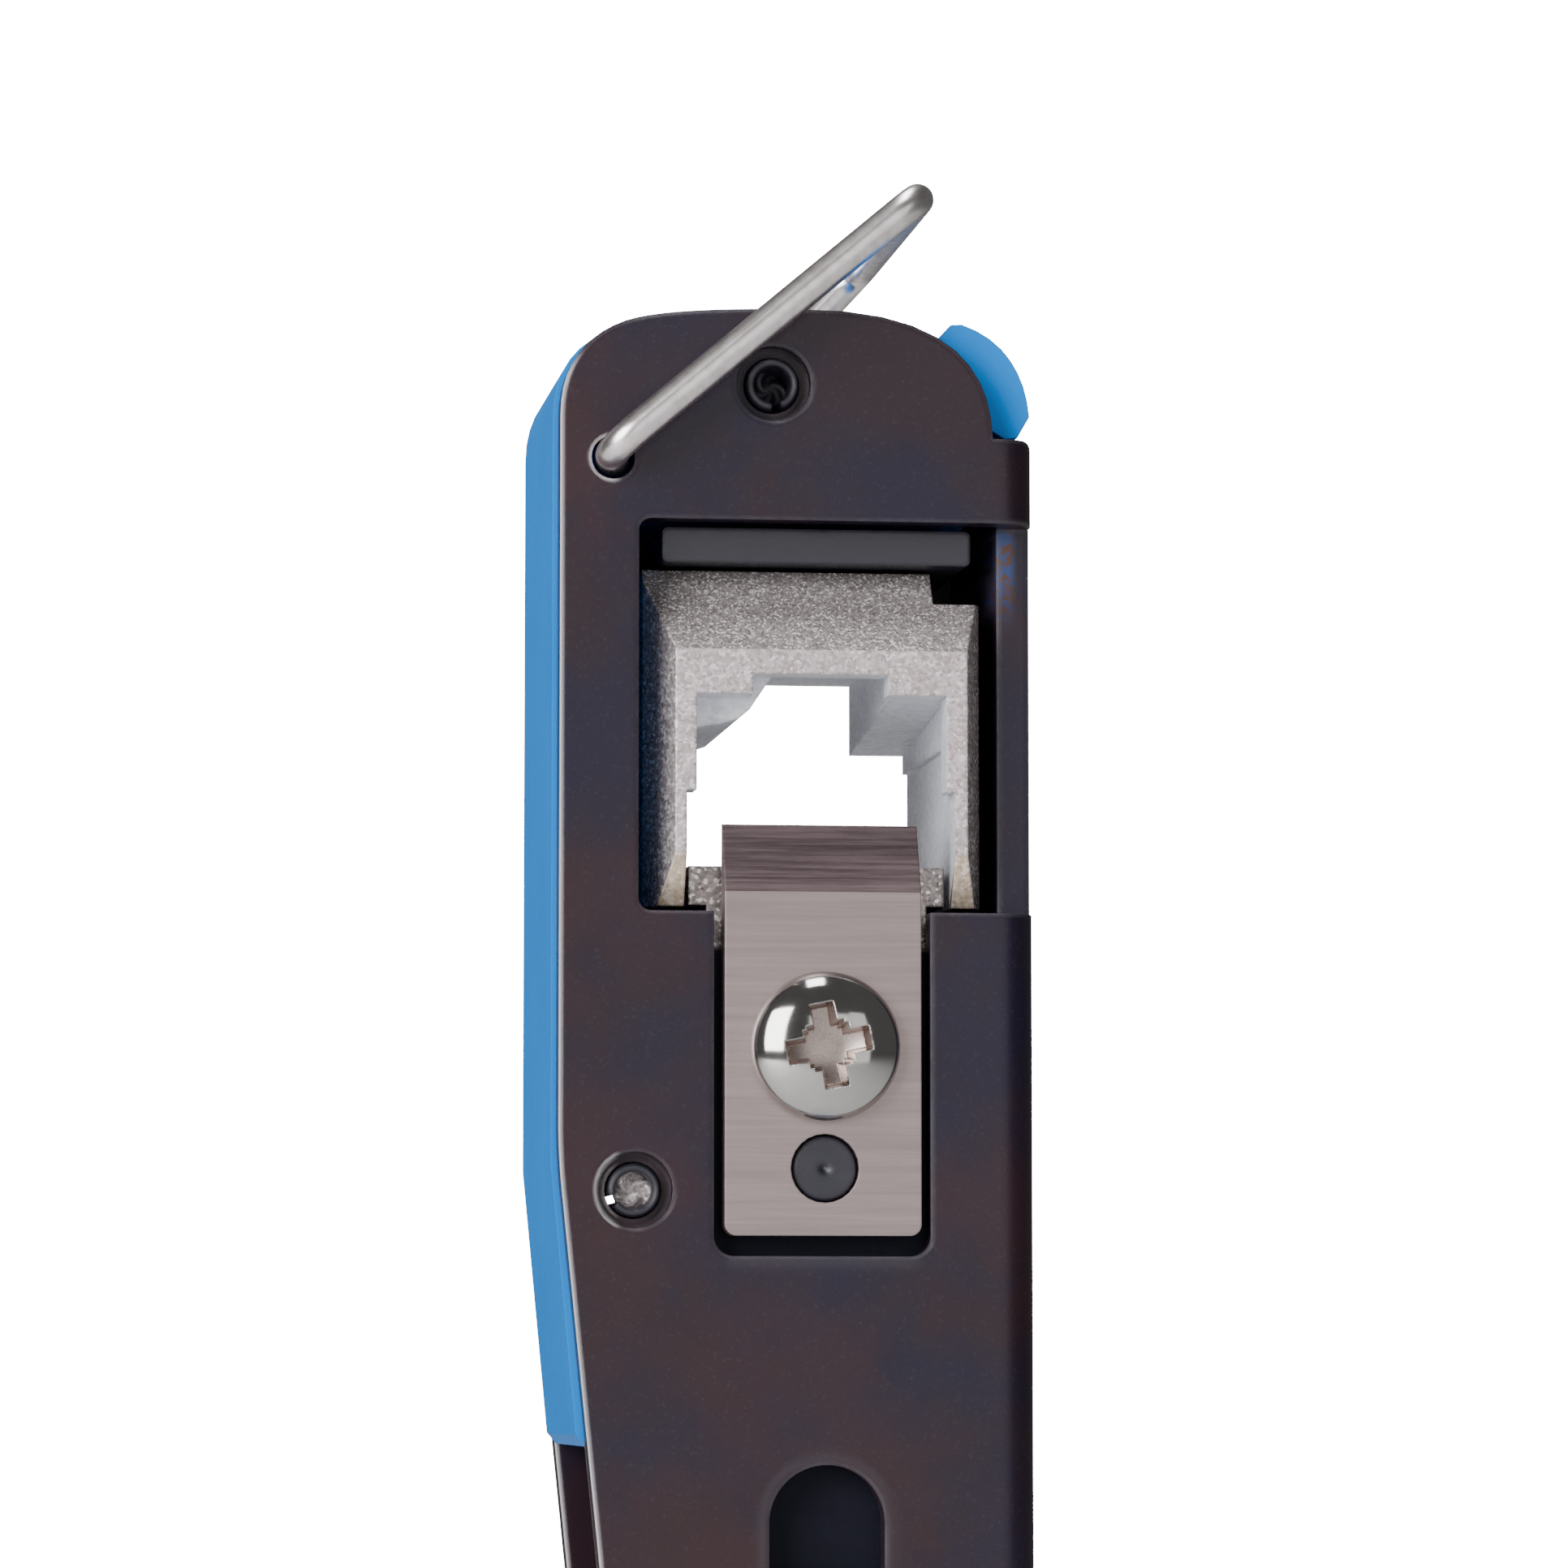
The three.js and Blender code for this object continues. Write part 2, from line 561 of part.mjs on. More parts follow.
// One half of the fixed handle's grip; side is -1 for the front half and 1 for the back half
function handleGrip(name, side) {
  const outline = roundedRectangle(GRIP.left, -GRIP.halfDepth, GRIP.right, GRIP.halfDepth, GRIP.radius);
  const outer = column(outline, 0, GRIP.top);
  const hollow = block(-3.3, WEB_RIGHT + 0.2, -DEPTH / 2 - SNUG, DEPTH / 2 + SNUG, 4, 100);
  const seam = GRIP.split + side * SNUG / 2;
  const half = side < 0 ? block(-30, 30, -30, seam, -1, 100) : block(-30, 30, seam, 30, -1, 100);
  const holes = Object.values(GRIP_SCREWS).map((z) => rod(GRIP_SCREW_X, z, 1.6, -FAR, FAR));
  if (side > 0) {
    for (const z of Object.values(GRIP_SCREWS)) {
      holes.push(rod(GRIP_SCREW_X, z, 3.0, DEPTH / 2 + 0.8, 30));
    }
  }
  return piece(name, subtractAll(outer.intersect(half).subtract(hollow), holes), softGrip);
}

function gripScrew(name, z) {
  const seat = DEPTH / 2 + 0.9;
  const profile = [
    [0, -13.2], [1.5, -13.2], [1.5, seat], [2.8, seat], [2.8, seat + 0.5], [2.2, seat + 0.9], [0, seat + 1.0],
  ];
  const recess = crossRecess(GRIP_SCREW_X, z, 2.8, 0.7, 0.3, seat + 0.4, seat + 3);
  return piece(name, turned(profile, GRIP_SCREW_X, z).subtract(recess), brightSteel);
}

// Wire bail: its feet lie on one slightly skewed axis, so the legs converge at the crossbar
function bail() {
  const axis = BAIL_BACK.clone().sub(BAIL_FRONT);
  const perY = axis.clone().multiplyScalar(1 / axis.y);
  const points = [
    BAIL_FRONT.clone().addScaledVector(perY, 2.4),
    BAIL_FRONT.clone().addScaledVector(perY, BAIL_FRONT.y * -1 - BAIL_SIDE),
    new THREE.Vector3(BAIL_TIP.x, -BAIL_SIDE, BAIL_TIP.z),
    new THREE.Vector3(BAIL_TIP.x, BAIL_SIDE, BAIL_TIP.z),
    BAIL_BACK.clone().addScaledVector(perY, BAIL_SIDE - BAIL_BACK.y),
    BAIL_BACK.clone().addScaledVector(perY, -2.4),
  ];
  return piece('bail', wire(bentPath(points, 2.2), WIRE_RADIUS, 90, 5), wireSteel);
}

const tool = new THREE.Group();
tool.add(frameChannel());
tool.add(coverInsert());
tool.add(rollPin('roll_pin_top', ROLL_PINS.roll_pin_top, -1.4));
tool.add(rollPin('roll_pin_lower', ROLL_PINS.roll_pin_lower, -2.7));
tool.add(jackNest());
for (const [name, place] of Object.entries(NEST_SCREWS)) {
  tool.add(nestScrew(name, place));
}
tool.add(clampBar());
tool.add(guideRail());
tool.add(springStop());
tool.add(pivotPin());
tool.add(pivotBushing('pivot_bushing_front', -9.9, -4.2));
tool.add(pivotBushing('pivot_bushing_back', 4.2, 9.9));
tool.add(stopPin());
tool.add(handleCore());
tool.add(handleGrip('handle_grip_front', -1));
tool.add(handleGrip('handle_grip_back', 1));
for (const [name, z] of Object.entries(GRIP_SCREWS)) {
  tool.add(gripScrew(name, z));
}

const ram = new THREE.Group();
ram.add(ramBody(), punchHead(), cuttingBlade(), bladeScrew(), bladeDowel(), drivePin(), returnSpring());
tool.add(ram);
tool.add(driveRoller());

const lever = new THREE.Group();
lever.position.copy(PIVOT);
lever.rotation.y = SQUEEZE;
lever.add(leverArm(), leverGrip());
tool.add(lever);
tool.add(bail());

export default tool;
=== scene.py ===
# %% [markdown]
# # A squeeze-type punch down tool, dressed for a picture
#
# The mechanical model of this tool is already made and packed: a folded steel channel, a cast nest for
# the jack, a ram with its blade, two handles and a wire bail. Those solids are plain and faceted. Here
# each of them gets the surface that a camera expects: rolled edges, grain, grinding marks and moulded
# grips. The model is loaded as a fixed frame first, and every size below is read from it, so nothing has
# to be fitted afterwards.

# %% Load the fixed frame
import json
import math

import bmesh
import bpy
import numpy as np
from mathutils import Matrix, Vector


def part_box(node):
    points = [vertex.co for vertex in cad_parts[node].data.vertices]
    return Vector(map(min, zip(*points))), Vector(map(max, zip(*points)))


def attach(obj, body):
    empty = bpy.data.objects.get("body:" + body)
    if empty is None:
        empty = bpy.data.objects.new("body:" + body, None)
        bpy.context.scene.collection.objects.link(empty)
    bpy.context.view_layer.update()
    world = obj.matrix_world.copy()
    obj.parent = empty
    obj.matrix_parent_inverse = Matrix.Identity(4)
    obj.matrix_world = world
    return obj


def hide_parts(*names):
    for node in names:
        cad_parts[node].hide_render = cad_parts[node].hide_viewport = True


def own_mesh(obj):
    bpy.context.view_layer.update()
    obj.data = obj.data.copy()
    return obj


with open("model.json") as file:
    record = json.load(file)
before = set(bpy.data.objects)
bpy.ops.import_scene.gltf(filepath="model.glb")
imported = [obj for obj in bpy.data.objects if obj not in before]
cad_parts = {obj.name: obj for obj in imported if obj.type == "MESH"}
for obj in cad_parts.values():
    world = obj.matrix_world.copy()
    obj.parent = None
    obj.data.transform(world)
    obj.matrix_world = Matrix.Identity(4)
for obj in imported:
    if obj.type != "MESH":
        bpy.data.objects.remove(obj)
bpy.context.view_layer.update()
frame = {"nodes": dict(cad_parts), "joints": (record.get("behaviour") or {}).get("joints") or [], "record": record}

MM = 0.001
body_of = {node: body for body, nodes in frame["record"]["behaviour"]["bodies"].items() for node in nodes}
slot_of = {entry["node"]: entry["material_slot"] for entry in frame["record"]["subparts"]}
joint_of = {joint["name"]: joint for joint in frame["joints"]}
print("bodies:", sorted(set(body_of.values())), "nodes:", len(body_of))


def box(node):
    """Lowest and highest corner of a node at rest, as two numpy arrays in metres."""
    low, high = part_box(node)
    return np.array(low), np.array(high)


# %% [markdown]
# ## Camera
#
# The view is almost square on to the cheek that carries the blade, a little from the left and a little
# from below. Close up, that small turn matters: it lets the blue side of the cover show past the cheek,
# and it opens the right-hand wall of the nest. The aim point is set down from the top of the channel, so
# it follows the frame.

# %% Place the camera
CAMERA_TURN = math.radians(-7.2)
CAMERA_LIFT = math.radians(-5.2)
CAMERA_DISTANCE = 400 * MM
FIELD_WIDTH = 96.1 * MM

channel_low, channel_high = box("frame_channel")
aim = np.array([-2.5 * MM, channel_low[1], channel_high[2] - 29.43 * MM])
back = np.array([
    math.sin(CAMERA_TURN) * math.cos(CAMERA_LIFT),
    -math.cos(CAMERA_TURN) * math.cos(CAMERA_LIFT),
    math.sin(CAMERA_LIFT),
])
camera_data = bpy.data.cameras.new("camera")
camera_data.sensor_width = 36.0
camera_data.lens = 36.0 * CAMERA_DISTANCE / FIELD_WIDTH
camera_data.clip_start = 0.01
camera_data.clip_end = 20.0
camera = bpy.data.objects.new("camera", camera_data)
bpy.context.scene.collection.objects.link(camera)
camera.location = tuple(aim + back * CAMERA_DISTANCE)
camera.rotation_mode = "QUATERNION"
camera.rotation_quaternion = (-Vector(back)).to_track_quat("-Z", "Y")
bpy.context.scene.camera = camera
print("lens", round(camera_data.lens, 1), "mm")


# %% [markdown]
# ## Shader sums written as sums
#
# A procedural material is arithmetic on patterns, but in the node editor each plus sign is a box with
# three wires. A small class that stands for one output socket lets Python's own operators add those
# boxes. Every other kind of node comes from the one method `node`, which sets the node's options first
# and then its sockets.

# %% One socket, with arithmetic
class Signal:
    """An output socket. Arithmetic on it adds Math nodes; node() adds any other node to the same tree."""

    def __init__(self, tree, socket):
        self.tree = tree
        self.socket = socket

    def node(self, kind, settings=None, inputs=None, output=0):
        """Adds a node: settings are its properties, and inputs are values or Signals by socket."""
        made = self.tree.nodes.new(kind)
        for key, value in (settings or {}).items():
            setattr(made, key, value)
        for key, value in (inputs or {}).items():
            if isinstance(value, Signal):
                self.tree.links.new(value.socket, made.inputs[key])
            else:
                made.inputs[key].default_value = value
        return Signal(self.tree, made.outputs[output])

    def math(self, operation, first, second=0.0):
        return self.node("ShaderNodeMath", {"operation": operation}, {0: first, 1: second})

    def __add__(self, other):
        return self.math("ADD", self, other)

    def __radd__(self, other):
        return self.math("ADD", other, self)

    def __rsub__(self, other):
        return self.math("SUBTRACT", other, self)

    def __mul__(self, other):
        return self.math("MULTIPLY", self, other)

    def __rmul__(self, other):
        return self.math("MULTIPLY", other, self)

    def stretched(self, scale):
        """The same coordinates, multiplied axis by axis."""
        return self.node("ShaderNodeMapping", {"vector_type": "POINT"}, {"Vector": self, "Scale": scale})

    def noise(self, scale, detail=2.0, roughness=0.5):
        """Smooth noise from 0 to 1 on these coordinates; scale is in bumps per metre."""
        return self.node("ShaderNodeTexNoise", {}, {
            "Vector": self, "Scale": scale, "Detail": detail, "Roughness": roughness})

    def window(self, low, high):
        """0 below low, 1 above high and a smooth step between."""
        return self.node("ShaderNodeMapRange", {"interpolation_type": "SMOOTHSTEP"}, {
            "Value": self, "From Min": low, "From Max": high})

    def between(self, first, second):
        """A colour that runs from first to second as this signal runs from 0 to 1."""
        return self.node("ShaderNodeMix", {"data_type": "RGBA"}, {0: self, 6: first, 7: second}, output=2)


class Finish:
    """A material with its coordinates ready to use and one call to connect what varies."""

    def __init__(self, name, **constants):
        self.material = bpy.data.materials.new(name)
        self.material.use_nodes = True
        self.tree = self.material.node_tree
        self.surface = self.tree.nodes["Principled BSDF"]
        for key, value in constants.items():
            self.surface.inputs[key.replace("_", " ")].default_value = value
        self.place = self.coordinates("ShaderNodeTexCoord", "Object")

    def coordinates(self, kind, output):
        return Signal(self.tree, self.tree.nodes.new(kind).outputs[output])

    def axes(self):
        """The place's x, y and z in metres, as three Signals."""
        made = self.tree.nodes.new("ShaderNodeSeparateXYZ")
        self.tree.links.new(self.place.socket, made.inputs[0])
        return [Signal(self.tree, output) for output in made.outputs]

    def attribute(self, name):
        """A number stored on the mesh's own points."""
        made = self.tree.nodes.new("ShaderNodeAttribute")
        made.attribute_name = name
        return Signal(self.tree, made.outputs["Fac"])

    def connect(self, **signals):
        for key, signal in signals.items():
            self.tree.links.new(signal.socket, self.surface.inputs[key.replace("_", " ")])

    def bump(self, height, distance, strength=1.0, edge=0.12 * MM):
        """Relief of this height over edges rolled to a radius; distance is the relief's depth in metres."""
        rolled = height.node("ShaderNodeBevel", {"samples": 4}, {"Radius": edge})
        bumped = height.node("ShaderNodeBump", {}, {
            "Height": height, "Distance": distance, "Strength": strength, "Normal": rolled})
        self.connect(Normal=bumped)

    def near_edge(self, radius):
        """0 on flats, rising towards 1 where the surface turns within this radius."""
        rolled = self.place.node("ShaderNodeBevel", {"samples": 4}, {"Radius": radius})
        plain = self.coordinates("ShaderNodeNewGeometry", "True Normal")
        product = {"operation": "DOT_PRODUCT"}
        return 1.0 - rolled.node("ShaderNodeVectorMath", product, {0: rolled, 1: plain}, output=1)


def rgb(red, green, blue):
    return (red, green, blue, 1.0)


print("socket arithmetic ready")

# %% [markdown]
# ## Black steel
#
# The channel is pressed from sheet and blackened in a hot bath. The bath leaves a thin, slightly uneven
# film: dark violet in one place, brown in another, with a fine tooth from the rolled sheet under it. Slow
# noises give the colour, a middle one the gloss and a fast one the tooth. Looking a short way round each
# edge gives the rest: a lighter halo round the oval slot, which is painted sheen on its drawn-down rim;
# edges lightened all round, partly rubbed wear and partly painted highlight; and a near-white painted
# highlight along the cut edge on the open side.

# %% Make black steel
STEEL_ROLL = 0.60 * MM
WEAR_AND_HIGHLIGHT_REACH = 0.45 * MM
HALO_REACH = 1.7 * MM


def heat_tint(finish):
    """1 on the stretch of the web's cut edge beside the window that went blue and straw."""
    along, deep, up = finish.axes()
    tint = along.window(10.9 * MM, 11.1 * MM) * (1.0 - along.window(11.9 * MM, 12.6 * MM))
    tint = tint * up.window(155 * MM, 160 * MM) * (1.0 - up.window(161.6 * MM, 162 * MM))
    return tint * deep.window(-9.4 * MM, -9.1 * MM)


def painted_slot_halo(finish):
    """1 close round the oval slot, where the press drew the sheet down: the mask of a painted sheen there."""
    along, _, up = finish.axes()
    rim = finish.near_edge(HALO_REACH).window(0.003, 0.06) * (1.0 - up.window(130.5 * MM, 132.5 * MM))
    return rim * along.window(-6.5 * MM, -5.5 * MM) * (1.0 - along.window(5.5 * MM, 6.5 * MM))


def black_steel():
    """The bath's film, then tint, a painted halo round the slot, edges lightened by wear and painted highlight,
    and a painted highlight along the open side's edge.
    """
    finish = Finish("black_steel", Specular_IOR_Level=0.4)
    cloud = finish.place.noise(70.0, 5.0, 0.62).window(0.38, 0.60)
    rust = finish.place.noise(48.0, 4.0, 0.6).window(0.50, 0.68)
    colour = cloud.between(rgb(0.012, 0.008, 0.024), rgb(0.021, 0.009, 0.015))
    colour = (rust * 0.6).between(colour, rgb(0.036, 0.012, 0.015))
    tooth = finish.place.noise(4200.0, 4.0, 0.65)
    colour = (tooth.window(0.55, 0.75) * 0.5).between(colour, rgb(0.044, 0.036, 0.048))
    flame = finish.place.noise(1600.0, 4.0, 0.6).window(0.42, 0.58)
    flame = flame.between(rgb(0.13, 0.06, 0.03), rgb(0.04, 0.08, 0.24))
    colour = (heat_tint(finish) * 0.7).between(colour, flame)
    # Painted sheen: a lighter halo round the oval slot.
    colour = (painted_slot_halo(finish) * 0.55).between(colour, rgb(0.060, 0.055, 0.066))
    along, _, up = finish.axes()
    # Edges lightened all round: partly rubbed wear, partly painted edge highlight.
    turn = finish.near_edge(WEAR_AND_HIGHLIGHT_REACH).window(0.01, 0.07)
    # Painted highlight: the edge on the open side, below the arch, turns near white.
    painted_edge_highlight = turn * (1.0 - along.window(-13.2 * MM, -12.4 * MM)) * (1.0 - up.window(170.5 * MM, 172.5 * MM))
    rub_and_sheen = finish.place.noise(900.0, 4.0, 0.6)
    colour = (turn * 0.5).between(colour, rub_and_sheen.between(rgb(0.06, 0.055, 0.068), rgb(0.24, 0.225, 0.26)))
    colour = painted_edge_highlight.between(colour, rgb(0.97, 0.93, 0.97))
    gloss = finish.place.noise(300.0, 4.0, 0.6)
    finish.connect(
        Base_Color=colour,
        Roughness=0.22 + 0.16 * gloss + 0.16 * painted_edge_highlight,
        Metallic=0.3 * painted_edge_highlight,
    )
    finish.bump(tooth, 5e-6, 0.7, STEEL_ROLL)
    return finish.material


finishes = {"black_steel": black_steel()}
print("made", list(finishes))

# %% [markdown]
# ## Moulded blue
#
# The cover is a hard plastic straight from a polished mould: strong colour, a soft broad highlight, and a
# faint orange-peel that only shows where the highlight breaks up. The handle grips are a softer grade of
# the same blue, rougher, with a fine sparked grain that keeps a damp hand from slipping.

# %% Make the two blue plastics and the black one
def blue_plastic():
    finish = Finish("blue_plastic", Specular_IOR_Level=0.08)
    drift = finish.place.noise(120.0, 3.0, 0.5)
    colour = drift.between(rgb(0.0, 0.23, 0.76), rgb(0.0, 0.28, 0.88))
    peel = finish.place.noise(1500.0, 2.0, 0.5)
    finish.connect(Base_Color=colour, Roughness=0.26 + 0.10 * finish.place.noise(700.0, 3.0, 0.6))
    finish.bump(peel, 1.2e-5, 0.5)
    return finish.material


def soft_grip():
    finish = Finish("soft_grip", Specular_IOR_Level=0.4)
    drift = finish.place.noise(60.0, 3.0, 0.5)
    colour = drift.between(rgb(0.007, 0.17, 0.45), rgb(0.012, 0.22, 0.53))
    grain = finish.place.noise(2600.0, 4.0, 0.7)
    finish.connect(Base_Color=colour, Roughness=0.48 + 0.2 * grain)
    finish.bump(grain, 4e-5, 0.8)
    return finish.material


def black_plastic():
    finish = Finish("black_plastic", Specular_IOR_Level=0.4)
    grain = finish.place.noise(2200.0, 3.0, 0.6)
    finish.connect(
        Base_Color=grain.between(rgb(0.010, 0.010, 0.012), rgb(0.020, 0.020, 0.023)),
        Roughness=0.42 + 0.15 * grain,
    )
    finish.bump(grain, 2e-5, 0.5)
    return finish.material


finishes.update(blue_plastic=blue_plastic(), soft_grip=soft_grip(), black_plastic=black_plastic())
print("made", list(finishes))

# %% [markdown]
# ## Cast zinc
#
# The nest and the punch head are pressure castings, tumbled and left bare. Tumbling leaves a skin like fine
# sandpaper that glitters, because each tiny facet mirrors a different part of the room. Cells about a fifth
# of a millimetre across are the facets, and each has its own tone, gloss and tilt; the brightest cells are
# pushed towards white as painted glints. The one recipe is mixed into lit and shaded copies for the nest's
# faces: lighter on the front and sides, darker on the top slope, warm cream on the foot as a painted
# reflection of the floor, and bright and smoother inside, all painted light and shade.

# %% Make cast zinc
def zinc(name, light, dark, rough, depth, diffuse=0.0, cells=5200.0, painted_glint=0.9):
    """Tumbled zinc, where each cell is one facet with its own tone.

    depth is the relief in metres, diffuse the share that scatters like paint, cells the number of facets to
    a metre, and the last argument how far the brightest facets are pushed towards white, as painted glints.
    """
    finish = Finish(name, Metallic=1.0 - diffuse)
    facets = finish.place.node("ShaderNodeTexVoronoi", {}, {"Vector": finish.place, "Scale": cells}, 1)
    tone = facets.node("ShaderNodeSeparateColor", {}, {0: facets})
    turn = facets.node("ShaderNodeSeparateColor", {}, {0: facets}, output=1)
    patches = finish.place.noise(500.0, 4.0, 0.6)
    colour = (0.75 * tone + 0.25 * patches).between(dark, light)
    # Painted glints: the brightest cells are pushed towards white.
    colour = (tone.window(0.80, 0.92) * painted_glint).between(colour, rgb(1.0, 0.96, 0.95))
    finish.connect(Base_Color=colour, Roughness=rough + 0.25 * turn)
    relief = 0.5 * turn + 0.5 * finish.place.noise(cells * 0.8, 2.0, 0.6)
    finish.bump(relief, depth, 0.8, 0.25 * MM)
    return finish.material


finishes["cast_zinc"] = zinc("cast_zinc", rgb(0.60, 0.53, 0.52), rgb(0.22, 0.19, 0.18), 0.34, 3.0e-5)
# Painted light: a lighter copy for the nest's front faces.
finishes["zinc_front"] = zinc(
    "zinc_front", rgb(1.0, 0.88, 0.90), rgb(0.42, 0.34, 0.355), 0.34, 4.0e-5, 0.5)
# Painted shade: a darker copy for the nest's top slope.
finishes["zinc_top"] = zinc(
    "zinc_top", rgb(0.62, 0.56, 0.55), rgb(0.14, 0.12, 0.12), 0.34, 4.0e-5, 0.55, 8200.0, 0.8)
# Painted light: a lighter copy for the nest's side slopes; the lower pin's core uses it too.
finishes["zinc_side"] = zinc(
    "zinc_side", rgb(0.72, 0.64, 0.65), rgb(0.20, 0.17, 0.17), 0.32, 4.0e-5, 0.5, 5200.0, 0.6)
# Painted reflection: a warm cream copy for the downward slopes, standing for the floor's reflection.
finishes["zinc_foot"] = zinc(
    "zinc_foot", rgb(0.98, 0.82, 0.64), rgb(0.52, 0.41, 0.31), 0.38, 3.0e-5, 0.5, 4200.0, 0.4)
# Painted light: a bright, smooth copy for the inside of the way through.
finishes["zinc_inner"] = zinc(
    "zinc_inner", rgb(0.96, 0.97, 1.0), rgb(0.74, 0.76, 0.84), 0.36, 6e-6, 0.8, 3000.0, 0.0)
print("made", [name for name in finishes if "zinc" in name])

# %% [markdown]
# ## Ground blade steel
#
# The blade was ground flat on a belt that ran across it, so its scratches lie level. Noise becomes
# scratches when the coordinates are squeezed along one axis: slow across the blade, very fast up it. The
# cutting bevel was ground later on a coarser wheel and has deeper lines; its darker colour is painted shade.

# %% Make the blade's flat and its bevel
def scratched(name, light, dark, lines, depth, rough, contrast):
    finish = Finish(name, Metallic=1.0)
    fine = finish.place.stretched((110.0, 110.0, lines)).noise(1.0, 5.0, 0.75)
    broad = finish.place.stretched((40.0, 40.0, lines / 3)).noise(1.0, 3.0, 0.6)
    mark = 0.6 * fine + 0.4 * broad
    colour = mark.window(0.5 - contrast, 0.5 + contrast).between(dark, light)
    finish.connect(Base_Color=colour, Roughness=rough + 0.12 * fine)
    finish.bump(fine, depth, 0.6)
    return finish.material


finishes["ground_steel"] = scratched(
    "ground_steel", rgb(0.47, 0.385, 0.38), rgb(0.36, 0.295, 0.29), 5200.0, 2.0e-6, 0.42, 0.20)
# The bevel's copy is painted darker: painted shade on the upward-facing slope.
finishes["blade_bevel"] = scratched(
    "blade_bevel", rgb(0.26, 0.195, 0.205), rgb(0.11, 0.082, 0.088), 4200.0, 4e-6, 0.40, 0.14)
print("made", list(finishes))

# %% [markdown]
# ## Plated, blackened and drawn steel
#
# Screws are plated and mirror the whole room, so they need very little pattern: a touch of smear in the
# gloss, and a darker, browner colour inside the cross recess that is painted shade. Pins are oiled black
# oxide; the ram and the drive pin, seen inside the slot, take a darker, duller copy of it that is painted
# shade. The bail is drawn through a die, which leaves faint lines along the wire, so its pattern follows
# the wire's own map rather than space.

# %% Make the three bar-stock finishes
def bright_steel():
    finish = Finish("bright_steel", Metallic=1.0)
    smear = finish.place.noise(1400.0, 3.0, 0.6)
    recess = finish.attribute("recess")
    plated = smear.between(rgb(0.52, 0.49, 0.46), rgb(0.60, 0.58, 0.57))
    # Painted shade: inside the cross recess the colour turns darker and browner.
    recess_painted_shade = finish.place.noise(9000.0, 3.0, 0.6).between(rgb(0.26, 0.20, 0.18), rgb(0.66, 0.56, 0.52))
    finish.connect(
        Base_Color=recess.between(plated, recess_painted_shade),
        Roughness=0.07 + 0.05 * smear + 0.24 * recess,
    )
    finish.bump(smear, 4e-6, 0.3)
    return finish.material


def dark_steel(name, light, dark, lumps=0.0, shine=0.7):
    """Black oxide; lumps is how deep, in metres, the slow unevenness of a rough piece is."""
    finish = Finish(name, Metallic=0.0, Specular_IOR_Level=shine)
    film = finish.place.noise(800.0, 4.0, 0.6)
    tooth = finish.place.noise(5600.0, 3.0, 0.6)
    slow = finish.place.noise(420.0, 3.0, 0.5)
    finish.connect(Base_Color=film.between(dark, light), Roughness=0.26 + 0.18 * film)
    finish.bump(tooth * 6e-6 + slow * lumps, 1.0, 0.6, 0.35 * MM)
    return finish.material


def wire_steel():
    finish = Finish("wire_steel", Metallic=1.0)
    along = finish.coordinates("ShaderNodeTexCoord", "UV")
    lines = along.stretched((40.0, 3.0, 1.0)).noise(1.0, 5.0, 0.6)
    patches = along.stretched((4.0, 18.0, 1.0)).noise(1.0, 4.0, 0.55)
    colour = patches.window(0.35, 0.7).between(rgb(1.0, 0.95, 0.94), rgb(0.80, 0.73, 0.72))
    finish.connect(Base_Color=colour, Roughness=0.22 + 0.14 * lines)
    finish.bump(lines, 1.5e-6, 0.4)
    return finish.material


finishes.update(bright_steel=bright_steel(), wire_steel=wire_steel())
finishes["dark_steel"] = dark_steel("dark_steel", rgb(0.025, 0.024, 0.038), rgb(0.011, 0.010, 0.019))
finishes["forged_steel"] = dark_steel(
    "forged_steel", rgb(0.022, 0.021, 0.034), rgb(0.009, 0.009, 0.016), 0.12 * MM)
# Painted shade: a darker, duller copy of black oxide for the ram and drive pin inside the slot.
finishes["oiled_steel"] = dark_steel(
    "oiled_steel", rgb(0.014, 0.014, 0.024), rgb(0.008, 0.008, 0.015), 0.0, 0.06)
print("made", list(finishes))


# %% [markdown]
# ## From arrays to meshes
#
# A new piece starts as an array of points: rows of rings, worked out in one go with numpy. Joining each
# point to its neighbours gives quads, and a fan of triangles shuts each end. A piece made this way is
# always closed.

# %% Array helpers
def quads(rows, columns):
    """Faces between neighbouring points of a grid whose columns run round and meet."""
    row = np.arange(rows - 1)[:, None] * columns
    column = np.arange(columns)[None, :]
    following = (column + 1) % columns
    corners = [row + column, row + following, row + columns + following, row + columns + column]
    return np.stack(corners, -1).reshape(-1, 4)


def skin(name, rings, finish, maps=None):
    """A closed body from rings of points (rows, columns, 3), ends shut by fans; maps holds their UVs."""
    rows, columns = rings.shape[:2]
    count = rows * columns
    points = np.concatenate([rings.reshape(-1, 3), rings[:1].mean(1), rings[-1:].mean(1)])
    column = np.arange(columns)
    following = (column + 1) % columns
    last = count - columns
    first_fan = np.stack([following, column, np.full(columns, count)], -1)
    last_fan = np.stack([last + column, last + following, np.full(columns, count + 1)], -1)
    mesh = bpy.data.meshes.new(name)
    faces = quads(rows, columns).tolist() + first_fan.tolist() + last_fan.tolist()
    mesh.from_pydata(points.tolist(), [], faces)
    if maps is not None:
        every = np.concatenate([maps.reshape(-1, 2), maps[:1].mean(1), maps[-1:].mean(1)])
        corner = np.empty(len(mesh.loops), np.int32)
        mesh.loops.foreach_get("vertex_index", corner)
        mesh.uv_layers.new(name="along").data.foreach_set("uv", every[corner].ravel().astype(np.float32))
    return finished(name, mesh, finish)


